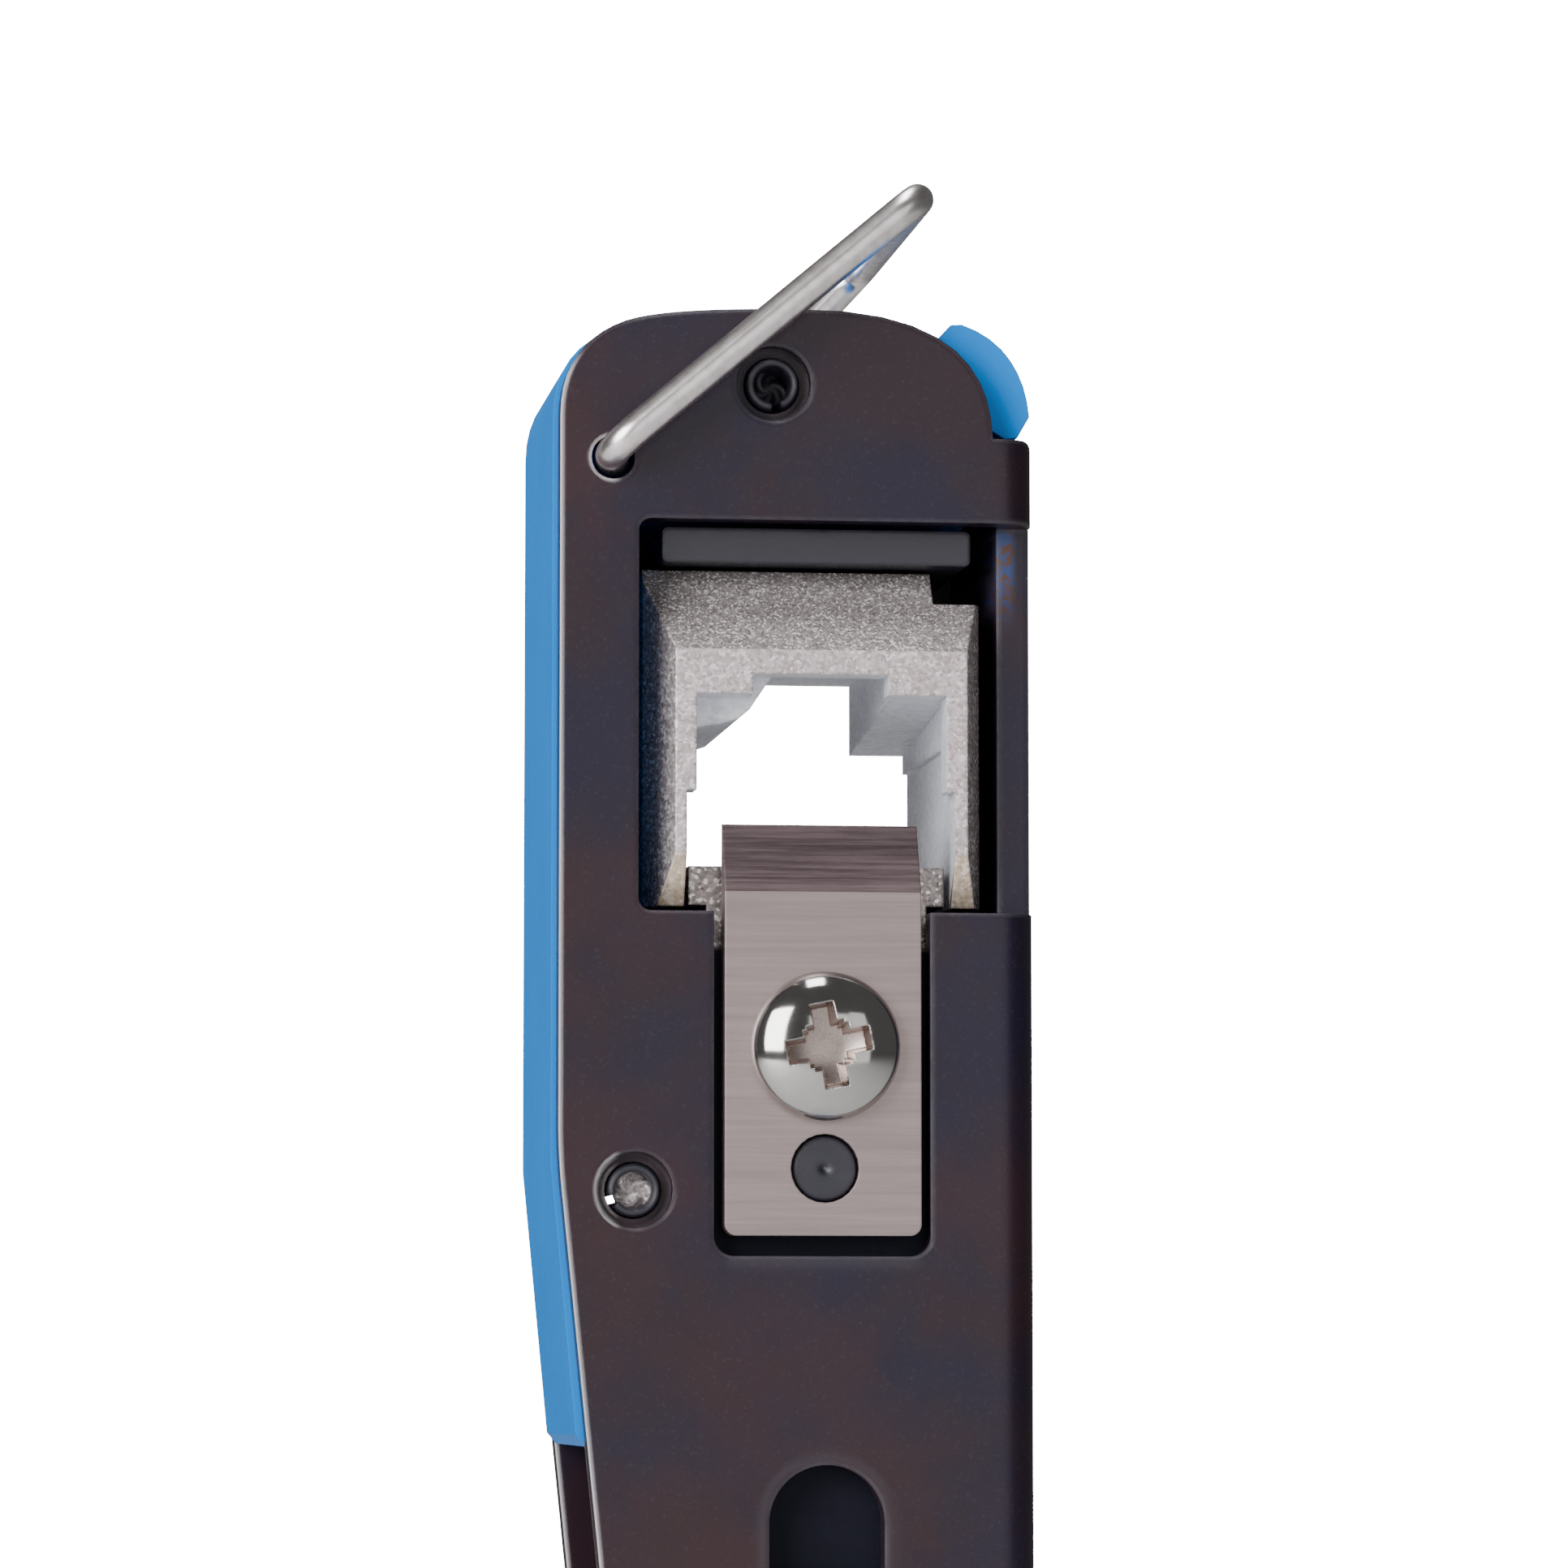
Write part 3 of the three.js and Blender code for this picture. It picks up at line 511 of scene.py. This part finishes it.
def finished(name, mesh, finish):
    """Turns the faces outwards, smooths them and puts the piece into the scene."""
    work = bmesh.new()
    work.from_mesh(mesh)
    bmesh.ops.recalc_face_normals(work, faces=work.faces)
    work.to_mesh(mesh)
    work.free()
    mesh.polygons.foreach_set("use_smooth", np.full(len(mesh.polygons), True))
    mesh.materials.clear()
    mesh.materials.append(finishes[finish])
    piece = bpy.data.objects.new(name, mesh)
    bpy.context.scene.collection.objects.link(piece)
    return piece


def stands_for(piece, *nodes):
    """Rides with its nodes' body and hides them."""
    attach(piece, body_of[nodes[0]])
    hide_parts(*nodes)
    return piece


def keep_sharp(work, degrees):
    """Marks a bmesh's edges that are sharper than this angle, so that only the rest is shaded smooth."""
    for edge in work.edges:
        edge.smooth = not (edge.is_manifold and edge.calc_face_angle(0.0) > math.radians(degrees))


def crease(piece, degrees):
    """Keeps a finished piece's edges sharp where they are sharper than this angle."""
    work = bmesh.new()
    work.from_mesh(piece.data)
    keep_sharp(work, degrees)
    work.to_mesh(piece.data)
    work.free()
    return piece


print("array helpers ready")


# %% [markdown]
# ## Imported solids, smoothed
#
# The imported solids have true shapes, so most pieces can wear them. A copy of each is taken with its loose
# triangles joined, so that its curves shade as curves, and edges sharper than a set angle are kept sharp.
# Weighing normals by area keeps flat faces flat. The small rounding along sharp edges is in the finishes,
# which look a short way round every edge, so no solid gets any larger.

# %% Copy a solid and shade its curves
def smoothed(node, finish=None, sharp=31.0):
    """A joined copy of a node whose faces share normals where they meet at less than sharp degrees."""
    mesh = frame["nodes"][node].data.copy()
    work = bmesh.new()
    work.from_mesh(mesh)
    bmesh.ops.remove_doubles(work, verts=work.verts, dist=0.002 * MM)
    keep_sharp(work, sharp)
    work.to_mesh(mesh)
    work.free()
    mesh.polygons.foreach_set("use_smooth", np.full(len(mesh.polygons), True))
    mesh.materials.clear()
    mesh.materials.append(finishes[finish or slot_of[node]])
    piece = bpy.data.objects.new(node + "_finished", mesh)
    bpy.context.scene.collection.objects.link(piece)
    flat = piece.modifiers.new("flat faces stay flat", "WEIGHTED_NORMAL")
    flat.weight = 100
    flat.keep_sharp = True
    return stands_for(piece, node)


# The ram and the drive pin take the darker copy of black oxide: painted shade inside the slot.
special_finish = {"clamp_bar": "forged_steel", "ram_body": "oiled_steel", "drive_pin": "oiled_steel"}
plain_pieces = (
    "frame_channel", "cover_insert", "clamp_bar", "punch_head", "ram_body", "lever_arm", "guide_rail",
    "spring_stop", "handle_core", "stop_pin", "drive_pin", "drive_roller", "pivot_pin",
    "pivot_bushing_front", "pivot_bushing_back",
)
for node in plain_pieces:
    smoothed(node, special_finish.get(node))
print("smoothed", len(plain_pieces), "pieces")

# %% [markdown]
# ## The casting's faces
#
# The nest is one casting in one zinc, but its faces take lit and shaded copies of the recipe: painted light
# and shade. Which copy a face takes depends on which way it looks: straight out, up, sideways or down.
# Faces inside the way through take the bright, smooth one.

# %% Dress the nest face by face
RECIPES = ("cast_zinc", "zinc_front", "zinc_top", "zinc_side", "zinc_foot", "zinc_inner")
nest_low, nest_high = box("jack_nest")
FRONT_DEPTH = 0.5 * MM
opening_low = nest_low + 1.9 * MM
opening_high = nest_high - 1.5 * MM


def recipe_for(face):
    """Name of the recipe for one face of the nest, by where it looks and where its middle lies."""
    out = face.normal
    x, y, z = face.center
    within = opening_low[0] < x < opening_high[0] and opening_low[2] < z < opening_high[2]
    at_front = y < nest_low[1] + FRONT_DEPTH
    if out.y < -0.95 and at_front:
        return "zinc_front"
    if out.y < -0.3 and abs(out.z) > 0.3:
        return "zinc_top" if out.z > 0 else "zinc_foot"
    if within and not at_front:
        return "zinc_inner"
    if out.y < -0.2 and abs(out.x) > 0.3:
        return "zinc_side"
    return "cast_zinc"


nest = smoothed("jack_nest")
for recipe in RECIPES[1:]:
    nest.data.materials.append(finishes[recipe])
for face in nest.data.polygons:
    face.material_index = RECIPES.index(recipe_for(face))
print("nest faces by recipe", np.bincount([face.material_index for face in nest.data.polygons]))

# %% [markdown]
# ## The blade
#
# The blade keeps its imported shape and its finishes round it by only a hair, or it would look blunt. Its
# sloping face takes the bevel's copy, painted darker as shade, chosen by which way each face looks.

# %% Dress the blade
blade = smoothed("cutting_blade")
blade.data.materials.append(finishes["blade_bevel"])
for face in blade.data.polygons:
    if face.normal.z > 0.25 and face.normal.y < -0.5:
        face.material_index = 1
print("bevel faces", sum(face.material_index for face in blade.data.polygons))


# %% [markdown]
# ## Screw heads
#
# A domed head with a cross recess is one height field on a disc. A square grid is bent onto the disc by
# squeezing each square ring into a circle, so the grid stays even in the middle, where the recess needs
# it. The dome is a flattened ellipse, and the recess is cut by the distance to a cross: inside it the
# height falls to a sloping floor.

# %% Height field for a screw head
def cross_distance(across, up, length, width):
    """Distance outside a plus sign: the nearer of two rounded bars, each length by width."""
    def bar(along, side):
        return np.maximum(np.abs(along) - length / 2, np.abs(side) - width / 2)
    return np.minimum(bar(across, up), bar(up, across))


def screw_head(name, node, radius, rise, recess, arm, turn, facing, cells=150):
    """Closed domed head. Height is rise*sqrt(1-(r/R)^2) softened at the rim, less the recess.

    recess and arm are the cross's length and width, turn is its angle, and facing is the sign of the Y that
    it looks to.
    """
    low, high = box(node)
    side = np.linspace(-1, 1, cells)
    a, b = np.meshgrid(side, side, indexing="ij")
    ring = np.maximum(np.abs(a), np.abs(b))
    angle = np.arctan2(b, a)
    across, up = ring * np.cos(angle), ring * np.sin(angle)
    dome = rise * (0.14 + 0.86 * np.sqrt(np.clip(1 - ring ** 2, 0, 1)))
    turned_across = (across * math.cos(turn) + up * math.sin(turn)) * radius
    turned_up = (up * math.cos(turn) - across * math.sin(turn)) * radius
    gap = cross_distance(turned_across, turned_up, recess, arm)
    notch = cross_distance(turned_across, turned_up, recess * 0.52, arm * 1.7)
    inside = np.clip(0.5 - np.minimum(gap, notch) / (0.05 * radius), 0, 1)
    reach = np.hypot(turned_across, turned_up) / (recess / 2)
    depth = rise * (0.92 - 0.42 * np.clip(reach, 0, 1) ** 2)
    height = dome - inside * depth
    seat = high[1] if facing > 0 else low[1]
    middle = (low + high) / 2
    x = middle[0] + across * radius
    z = middle[2] + up * radius
    base = seat - facing * rise
    top = np.stack([x, base + facing * height, z], -1).reshape(-1, 3)
    under = np.stack([x, np.full_like(x, base - facing * 0.2 * MM), z], -1).reshape(-1, 3)
    grid = np.arange(cells * cells).reshape(cells, cells)
    flat = np.stack([grid[:-1, :-1], grid[1:, :-1], grid[1:, 1:], grid[:-1, 1:]], -1).reshape(-1, 4)
    rim = np.concatenate([grid[0, :-1], grid[:-1, -1], grid[-1, :0:-1], grid[:0:-1, 0]])
    wall = np.stack([rim, np.roll(rim, -1), np.roll(rim, -1) + cells ** 2, rim + cells ** 2], -1)
    mesh = bpy.data.meshes.new(name)
    faces = flat.tolist() + (flat + cells ** 2).tolist() + wall.tolist()
    mesh.from_pydata(np.concatenate([top, under]).tolist(), [], faces)
    mark = np.concatenate([np.clip(inside * 2, 0, 1).ravel(), np.zeros(cells ** 2)])
    mesh.attributes.new("recess", "FLOAT", "POINT").data.foreach_set("value", mark.astype(np.float32))
    piece = crease(finished(name, mesh, "bright_steel"), 50)
    return stands_for(piece, node)


screw_head("blade_screw_head", "blade_screw", 4.6 * MM, 2.4 * MM, 5.0 * MM, 1.25 * MM, 0.2, -1, 220)
for side, turn in (("left", 0.5), ("right", 0.1)):
    screw_head(f"nest_screw_head_{side}", f"nest_screw_{side}",
               2.7 * MM, 1.6 * MM, 3.0 * MM, 0.75 * MM, turn, 1, 90)
for place, turn in (("upper", 0.3), ("lower", 0.9)):
    screw_head(f"grip_screw_head_{place}", f"grip_screw_{place}",
               2.8 * MM, 1.0 * MM, 3.0 * MM, 0.75 * MM, turn, 1, 90)
print("screw heads made")

# %% [markdown]
# ## Turned and rolled pins
#
# The locating dowel was faced on a lathe, and its end shows the tool's fine rings around a centre dimple:
# a profile with a small ripple, turned about the pin's axis. The spring pins are strip rolled into a C,
# so their section is a C-shaped outline carried along the pin, drawn in a little at both ends.

# %% Turn the dowel and roll the spring pins
def turned(name, node, radii, depths, finish, sides=72):
    """A body turned about the line along Y through the node's middle; radii and depths give its profile."""
    low, high = box(node)
    middle = (low + high) / 2
    angle = np.linspace(0, 2 * np.pi, sides, endpoint=False)
    x = middle[0] + radii[:, None] * np.cos(angle)
    z = middle[2] + radii[:, None] * np.sin(angle)
    y = np.broadcast_to(depths[:, None], x.shape)
    return crease(skin(name, np.stack([x, y, z], -1), finish), 40)


dowel_low, dowel_high = box("blade_dowel")
dowel_radius = (dowel_high[0] - dowel_low[0]) / 2
RING_PITCH = 0.16 * MM
DIMPLE_RADIUS = 0.28 * MM
face_radii = np.linspace(0.03, 1.0, 60) * (dowel_radius - 0.15 * MM)
ripple = 0.012 * MM * np.cos(face_radii / RING_PITCH * 2 * np.pi)
ripple = ripple + 0.3 * MM * np.exp(-(face_radii / DIMPLE_RADIUS) ** 2)
dowel_radii = np.concatenate([face_radii, [dowel_radius, dowel_radius]])
dowel_face = dowel_low[1] + 0.02 * MM + ripple
dowel_depths = np.concatenate([dowel_face, [dowel_low[1] + 0.18 * MM, dowel_high[1]]])
dowel = turned("blade_dowel_turned", "blade_dowel", dowel_radii, dowel_depths, "dark_steel")
stands_for(dowel, "blade_dowel")


def rolled_pin(name, node, gap_at, wall=0.55 * MM, gap=0.22, steps=48):
    """A C-shaped outline, outer arc then inner arc back, carried along Y and drawn in at both ends."""
    low, high = box(node)
    middle = (low + high) / 2
    radius = (high[0] - low[0]) / 2
    sweep = gap_at + np.linspace(gap, 2 * np.pi - gap, steps)
    outer = np.stack([np.cos(sweep), np.sin(sweep)], -1) * radius
    inner = np.stack([np.cos(sweep[::-1]), np.sin(sweep[::-1])], -1) * (radius - wall)
    along = np.array([0, 0.0, 0.12, 0.3, 0.5, 1.0])
    along = np.concatenate([along * MM, (high[1] - low[1]) - along[::-1] * MM]) + low[1]
    draw = np.array([0.22, 0.16, 0.07, 0.02, 0.0, 0.0]) * MM
    draw = np.concatenate([draw, draw[::-1]])[:, None, None]
    outward = np.concatenate([outer / radius, -inner / (radius - wall)])
    outline = np.concatenate([outer, inner])[None] - outward[None] * draw
    y = np.broadcast_to(along[:, None, None], outline.shape[:2] + (1,))
    points = np.concatenate([outline[..., :1] + middle[0], y, outline[..., 1:] + middle[2]], -1)
    rows, columns = points.shape[:2]
    mesh = bpy.data.meshes.new(name)
    strip = np.arange(steps - 1)
    cap = np.stack([strip, strip + 1, columns - 2 - strip, columns - 1 - strip], -1)
    faces = quads(rows, columns).tolist() + cap.tolist() + (cap + (rows - 1) * columns).tolist()
    mesh.from_pydata(points.reshape(-1, 3).tolist(), [], faces)
    return stands_for(crease(finished(name, mesh, "dark_steel"), 40), node)


def pin_core(name, node, light, depth=1.3 * MM, sides=40):
    """A lumpy disc across the pin's bore: radius r at angle a, sunk by depth + 0.25*sin(3a + 5r)*r."""
    low, high = box(node)
    middle = (low + high) / 2
    bore = (high[0] - low[0]) / 2 - 0.5 * MM
    share = np.linspace(0.02, 1, 14)[:, None]
    angle = np.linspace(0, 2 * np.pi, sides, endpoint=False)[None]
    lump = 0.25 * MM * np.sin(3 * angle + 5 * share + middle[2] * 9000) * share
    x = middle[0] + bore * share * np.cos(angle)
    z = middle[2] + bore * share * np.sin(angle)
    top = np.stack([x, low[1] + depth + lump, z], -1)
    rear = top[::-1].copy()
    rear[..., 1] = low[1] + depth + 1.0 * MM
    piece = skin(name, np.concatenate([top, rear]), light)
    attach(piece, body_of[node])


pin_core("roll_pin_top_core", "roll_pin_top", "dark_steel", 2.6 * MM)
pin_core("roll_pin_lower_core", "roll_pin_lower", "zinc_side", 1.2 * MM)
rolled_pin("roll_pin_top_rolled", "roll_pin_top", -1.4)
rolled_pin("roll_pin_lower_rolled", "roll_pin_lower", -2.7)
print("pins made")


# %% [markdown]
# ## Wire: the bail and the spring
#
# A wire is a circle carried along a path. The only care needed is that the circle doesn't spin as it
# goes: both wires here never run parallel to one chosen direction, so that direction, flattened against
# the path, gives a steady side, and a cross product gives the other. The bail's feet lie on its hinge
# line, and its corners are bent on arcs.

# %% Carry a circle along a path
def wire(name, node, path, radius, steady, finish, sides=28):
    """Rings of a tube: centre + radius*(cos*side + sin*other); side is steady made square to the path."""
    ahead = np.gradient(path, axis=0)
    ahead /= np.linalg.norm(ahead, axis=1, keepdims=True)
    side = steady - (ahead @ steady)[:, None] * ahead
    side /= np.linalg.norm(side, axis=1, keepdims=True)
    other = np.cross(ahead, side)
    angle = np.linspace(0, 2 * np.pi, sides, endpoint=False)
    around = np.cos(angle)[None, :, None] * side[:, None] + np.sin(angle)[None, :, None] * other[:, None]
    length = np.concatenate([[0], np.cumsum(np.linalg.norm(np.diff(path, axis=0), axis=1))])
    shrink = radius * np.clip(np.minimum(length, length[-1] - length) / (0.3 * MM) * 0.3 + 0.7, 0, 1)
    rings = path[:, None] + around * shrink[:, None, None]
    turn = np.broadcast_to(np.abs(angle / np.pi - 1), rings.shape[:2])
    run = np.broadcast_to((length / (20 * MM))[:, None], rings.shape[:2])
    return stands_for(skin(name, rings, finish, np.stack([turn, run], -1)), node)


def bent(corners, reach, straight=14, curve=16):
    """Straight runs joined by quadratic arcs that start and end a reach away from each corner."""
    runs = []
    start = corners[0]
    for before, corner, after in zip(corners[:-2], corners[1:-1], corners[2:]):
        entry = corner + (before - corner) / np.linalg.norm(before - corner) * reach
        leave = corner + (after - corner) / np.linalg.norm(after - corner) * reach
        t = np.linspace(0, 1, straight, endpoint=False)[:, None]
        runs.append(start + (entry - start) * t)
        t = np.linspace(0, 1, curve, endpoint=False)[:, None]
        runs.append((1 - t) ** 2 * entry + 2 * t * (1 - t) * corner + t ** 2 * leave)
        start = leave
    runs.append(start + (corners[-1] - start) * np.linspace(0, 1, straight)[:, None])
    return np.concatenate(runs)


WIRE_RADIUS = 1.0 * MM
FOOT_LENGTH = 2.4 * MM
CORNER_REACH = 2.2 * MM
bail_high = box("bail")[1]
hinge = np.array(joint_of["bail_swing"]["pos_m"])
hinge_axis = np.array(joint_of["bail_swing"]["axis"])
per_y = hinge_axis / hinge_axis[1]
side_y = bail_high[1] - WIRE_RADIUS
tip = np.array([bail_high[0] - WIRE_RADIUS, 0, bail_high[2] - WIRE_RADIUS])


def on_hinge(y):
    return hinge + per_y * (y - hinge[1])


bail_corners = [
    on_hinge(hinge[1] + FOOT_LENGTH), on_hinge(-side_y), tip - [0, side_y, 0],
    tip + [0, side_y, 0], on_hinge(side_y), on_hinge(-hinge[1] - FOOT_LENGTH),
]
steady = np.cross(tip - hinge, [0.0, 1.0, 0.0])
steady /= np.linalg.norm(steady)
bail = wire("bail_wire", "bail", bent(bail_corners, CORNER_REACH), WIRE_RADIUS, steady, "wire_steel")

spring_low, spring_high = box("return_spring")
spring_wire = 0.35 * MM
SPRING_TURNS = 7
spring_turn = np.linspace(0, 2 * np.pi * SPRING_TURNS, SPRING_TURNS * 40)
spring_middle = (spring_low + spring_high) / 2
spring_radius = (spring_high[1] - spring_low[1]) / 2 - spring_wire
spring_path = np.stack([
    spring_middle[0] + spring_radius * np.cos(spring_turn),
    spring_middle[1] + spring_radius * np.sin(spring_turn),
    np.linspace(spring_low[2] + spring_wire, spring_high[2] - spring_wire, len(spring_turn)),
], -1)
upwards = np.array([0.0, 0.0, 1.0])
spring = wire("return_spring_wire", "return_spring", spring_path, spring_wire, upwards, "bright_steel", 12)
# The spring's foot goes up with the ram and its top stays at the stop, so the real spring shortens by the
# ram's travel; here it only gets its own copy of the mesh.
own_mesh(spring)
print("wires made, bail", len(bail.data.vertices), "points")


# %% [markdown]
# ## Handle grips
#
# A grip is a tube whose section changes as it goes: nearly a rounded oblong, fuller where the palm rests,
# drawn in at the neck, with shallow grooves for the fingers. The section is a superellipse, |x/a|^n +
# |y/b|^n = 1, and both half-widths are functions of the height. A high n keeps the corners full, so that
# little of the steel inside shows. Each end closes over a small shoulder.

# %% Loft the grips
FIXED_POWER = 8.0
LEVER_POWER = 3.2
LEVER_OPEN = math.radians(32)
LEVER_HALF_WIDTH = 6.6 * MM
LEVER_HALF_DEPTH = 10.5 * MM
LEVER_SHIFT = -1.6 * MM
LEVER_BUTT = -91 * MM
LEVER_GRIP_LENGTH = 69 * MM


def grip_profile(t):
    """Share of full width at t from 0, the butt, to 1, the neck: shoulders, a palm swell and grooves."""
    butt = 1 - np.clip(1 - t / 0.05, 0, 1) ** 8
    neck = 1 - np.clip(1 - (1 - t) / 0.035, 0, 1) ** 8 * 0.25
    swell = 0.965 + 0.035 * np.sin(np.pi * np.clip(t, 0, 1)) ** 1.2
    grooves = 1 - 0.022 * (0.5 + 0.5 * np.cos(2 * np.pi * 7 * t)) ** 6 * ((t > 0.14) & (t < 0.9))
    return np.clip(np.minimum(butt, neck), 0.05, 1) * swell * grooves


def superellipse(angle, a, b, power):
    """Points of |x/a|^n + |y/b|^n = 1 at the given angles."""
    c, s = np.cos(angle), np.sin(angle)
    x = np.sign(c) * np.abs(c) ** (2 / power) * a
    y = np.sign(s) * np.abs(s) ** (2 / power) * b
    return x, y


def handle_half(name, node, side, rows=260, columns=64):
    """One half of the fixed grip: the part of the section on its side of the seam, closed across it."""
    front, rear = box("handle_grip_front"), box("handle_grip_back")
    low, high = np.minimum(front[0], rear[0]), np.maximum(front[1], rear[1])
    own_low, own_high = box(node)
    seam = (own_high if side < 0 else own_low)[1]
    t = np.linspace(0, 1, rows)
    share = grip_profile(t)
    middle, half = (low + high) / 2, (high - low) / 2
    angle = np.linspace(0, np.pi, columns) * side
    x, y = superellipse(angle, half[0], half[1], FIXED_POWER)
    x = middle[0] + x[None] * share[:, None]
    y = middle[1] + y[None] * share[:, None]
    reach = np.sign(side) * (y - seam)
    y = np.where(reach < 0, seam, y)
    z = low[2] + (high[2] - low[2]) * np.broadcast_to(t[:, None], x.shape)
    return stands_for(crease(skin(name, np.stack([x, y, z], -1), "soft_grip"), 40), node)


handle_half("handle_grip_front_moulded", "handle_grip_front", -1)
handle_half("handle_grip_back_moulded", "handle_grip_back", 1)


def lever_grip_piece():
    """The moving handle's grip, lofted along the lever and turned with it about the pivot."""
    pivot = np.array(joint_of["lever_squeeze"]["pos_m"])
    t = np.linspace(0, 1, 260)
    angle = np.linspace(0, 2 * np.pi, 96, endpoint=False)
    share = grip_profile(t)
    x, y = superellipse(angle, LEVER_HALF_WIDTH, LEVER_HALF_DEPTH, LEVER_POWER)
    local_x = LEVER_SHIFT + x[None] * share[:, None]
    local_y = y[None] * share[:, None]
    local_z = np.broadcast_to((LEVER_BUTT + LEVER_GRIP_LENGTH * t)[:, None], local_x.shape)
    world_x = pivot[0] + local_x * math.cos(LEVER_OPEN) + local_z * math.sin(LEVER_OPEN)
    world_z = pivot[2] - local_x * math.sin(LEVER_OPEN) + local_z * math.cos(LEVER_OPEN)
    return skin("lever_grip_moulded", np.stack([world_x, local_y, world_z], -1), "soft_grip")


stands_for(lever_grip_piece(), "lever_grip")
print("grips made")

# %% [markdown]
# ## Floor and light
#
# The tool stands on a pale floor in a bright, even room. Black steel and chrome show what surrounds them
# more than their own colour, so the room is dim where it only lights and bright where the camera looks past
# the tool. Soft panels at the left, above, in front and at the right draw the long bright lines.

# %% Build the stage
def pale_floor():
    finish = Finish("pale_floor", Specular_IOR_Level=0.2)
    cloud = finish.place.noise(3.0, 3.0, 0.5)
    grey = cloud.between(rgb(0.80, 0.80, 0.80), rgb(0.84, 0.84, 0.84))
    finish.connect(Base_Color=grey, Roughness=0.6 + 0.1 * cloud)
    return finish.material


floor_mesh = bpy.data.meshes.new("floor")
SPREAD = 3.0
floor_corners = [(-SPREAD, -SPREAD, 0), (SPREAD, -SPREAD, 0), (SPREAD, SPREAD, 0), (-SPREAD, SPREAD, 0)]
floor_mesh.from_pydata(floor_corners, [], [(0, 1, 2, 3)])
floor_mesh.materials.append(pale_floor())
floor = bpy.data.objects.new("floor", floor_mesh)
floor.location = (0, 0, -0.0002)
bpy.context.scene.collection.objects.link(floor)


def panel(name, toward, distance, size, radiance):
    """A soft rectangular light that faces the head; its power is radiance * pi * area, in watts."""
    data = bpy.data.lights.new(name, "AREA")
    data.shape = "RECTANGLE"
    data.size, data.size_y = size
    data.energy = radiance * math.pi * size[0] * size[1]
    light = bpy.data.objects.new(name, data)
    offset = np.array(toward) / np.linalg.norm(toward) * distance
    light.location = tuple(aim + offset)
    light.rotation_mode = "QUATERNION"
    light.rotation_quaternion = (-Vector(offset)).to_track_quat("-Z", "Y")
    light.visible_camera = False
    bpy.context.scene.collection.objects.link(light)
    return light


panel("key", (-0.70, -0.65, 0.29), 0.70, (0.42, 0.50), 9.5)
panel("overhead", (-0.05, 0.00, 1.0), 0.60, (0.55, 0.16), 9.0)
panel("front", (0.14, -0.97, 0.12), 0.90, (0.50, 0.60), 1.1)
panel("right_strip", (0.54, -0.84, 0.05), 0.80, (0.22, 0.70), 1.0)

world = bpy.data.worlds.new("room")
world.use_nodes = True
bpy.context.scene.world = world
room = world.node_tree
background = room.nodes["Background"]
seen = Signal(room, room.nodes.new("ShaderNodeLightPath").outputs["Is Camera Ray"])
ROOM_GLOW = 0.10
BACKDROP_GLOW = 16.4
room.links.new((ROOM_GLOW + BACKDROP_GLOW * seen).socket, background.inputs["Strength"])
background.inputs["Color"].default_value = (1.0, 1.0, 1.0, 1.0)
print("stage and lights ready")
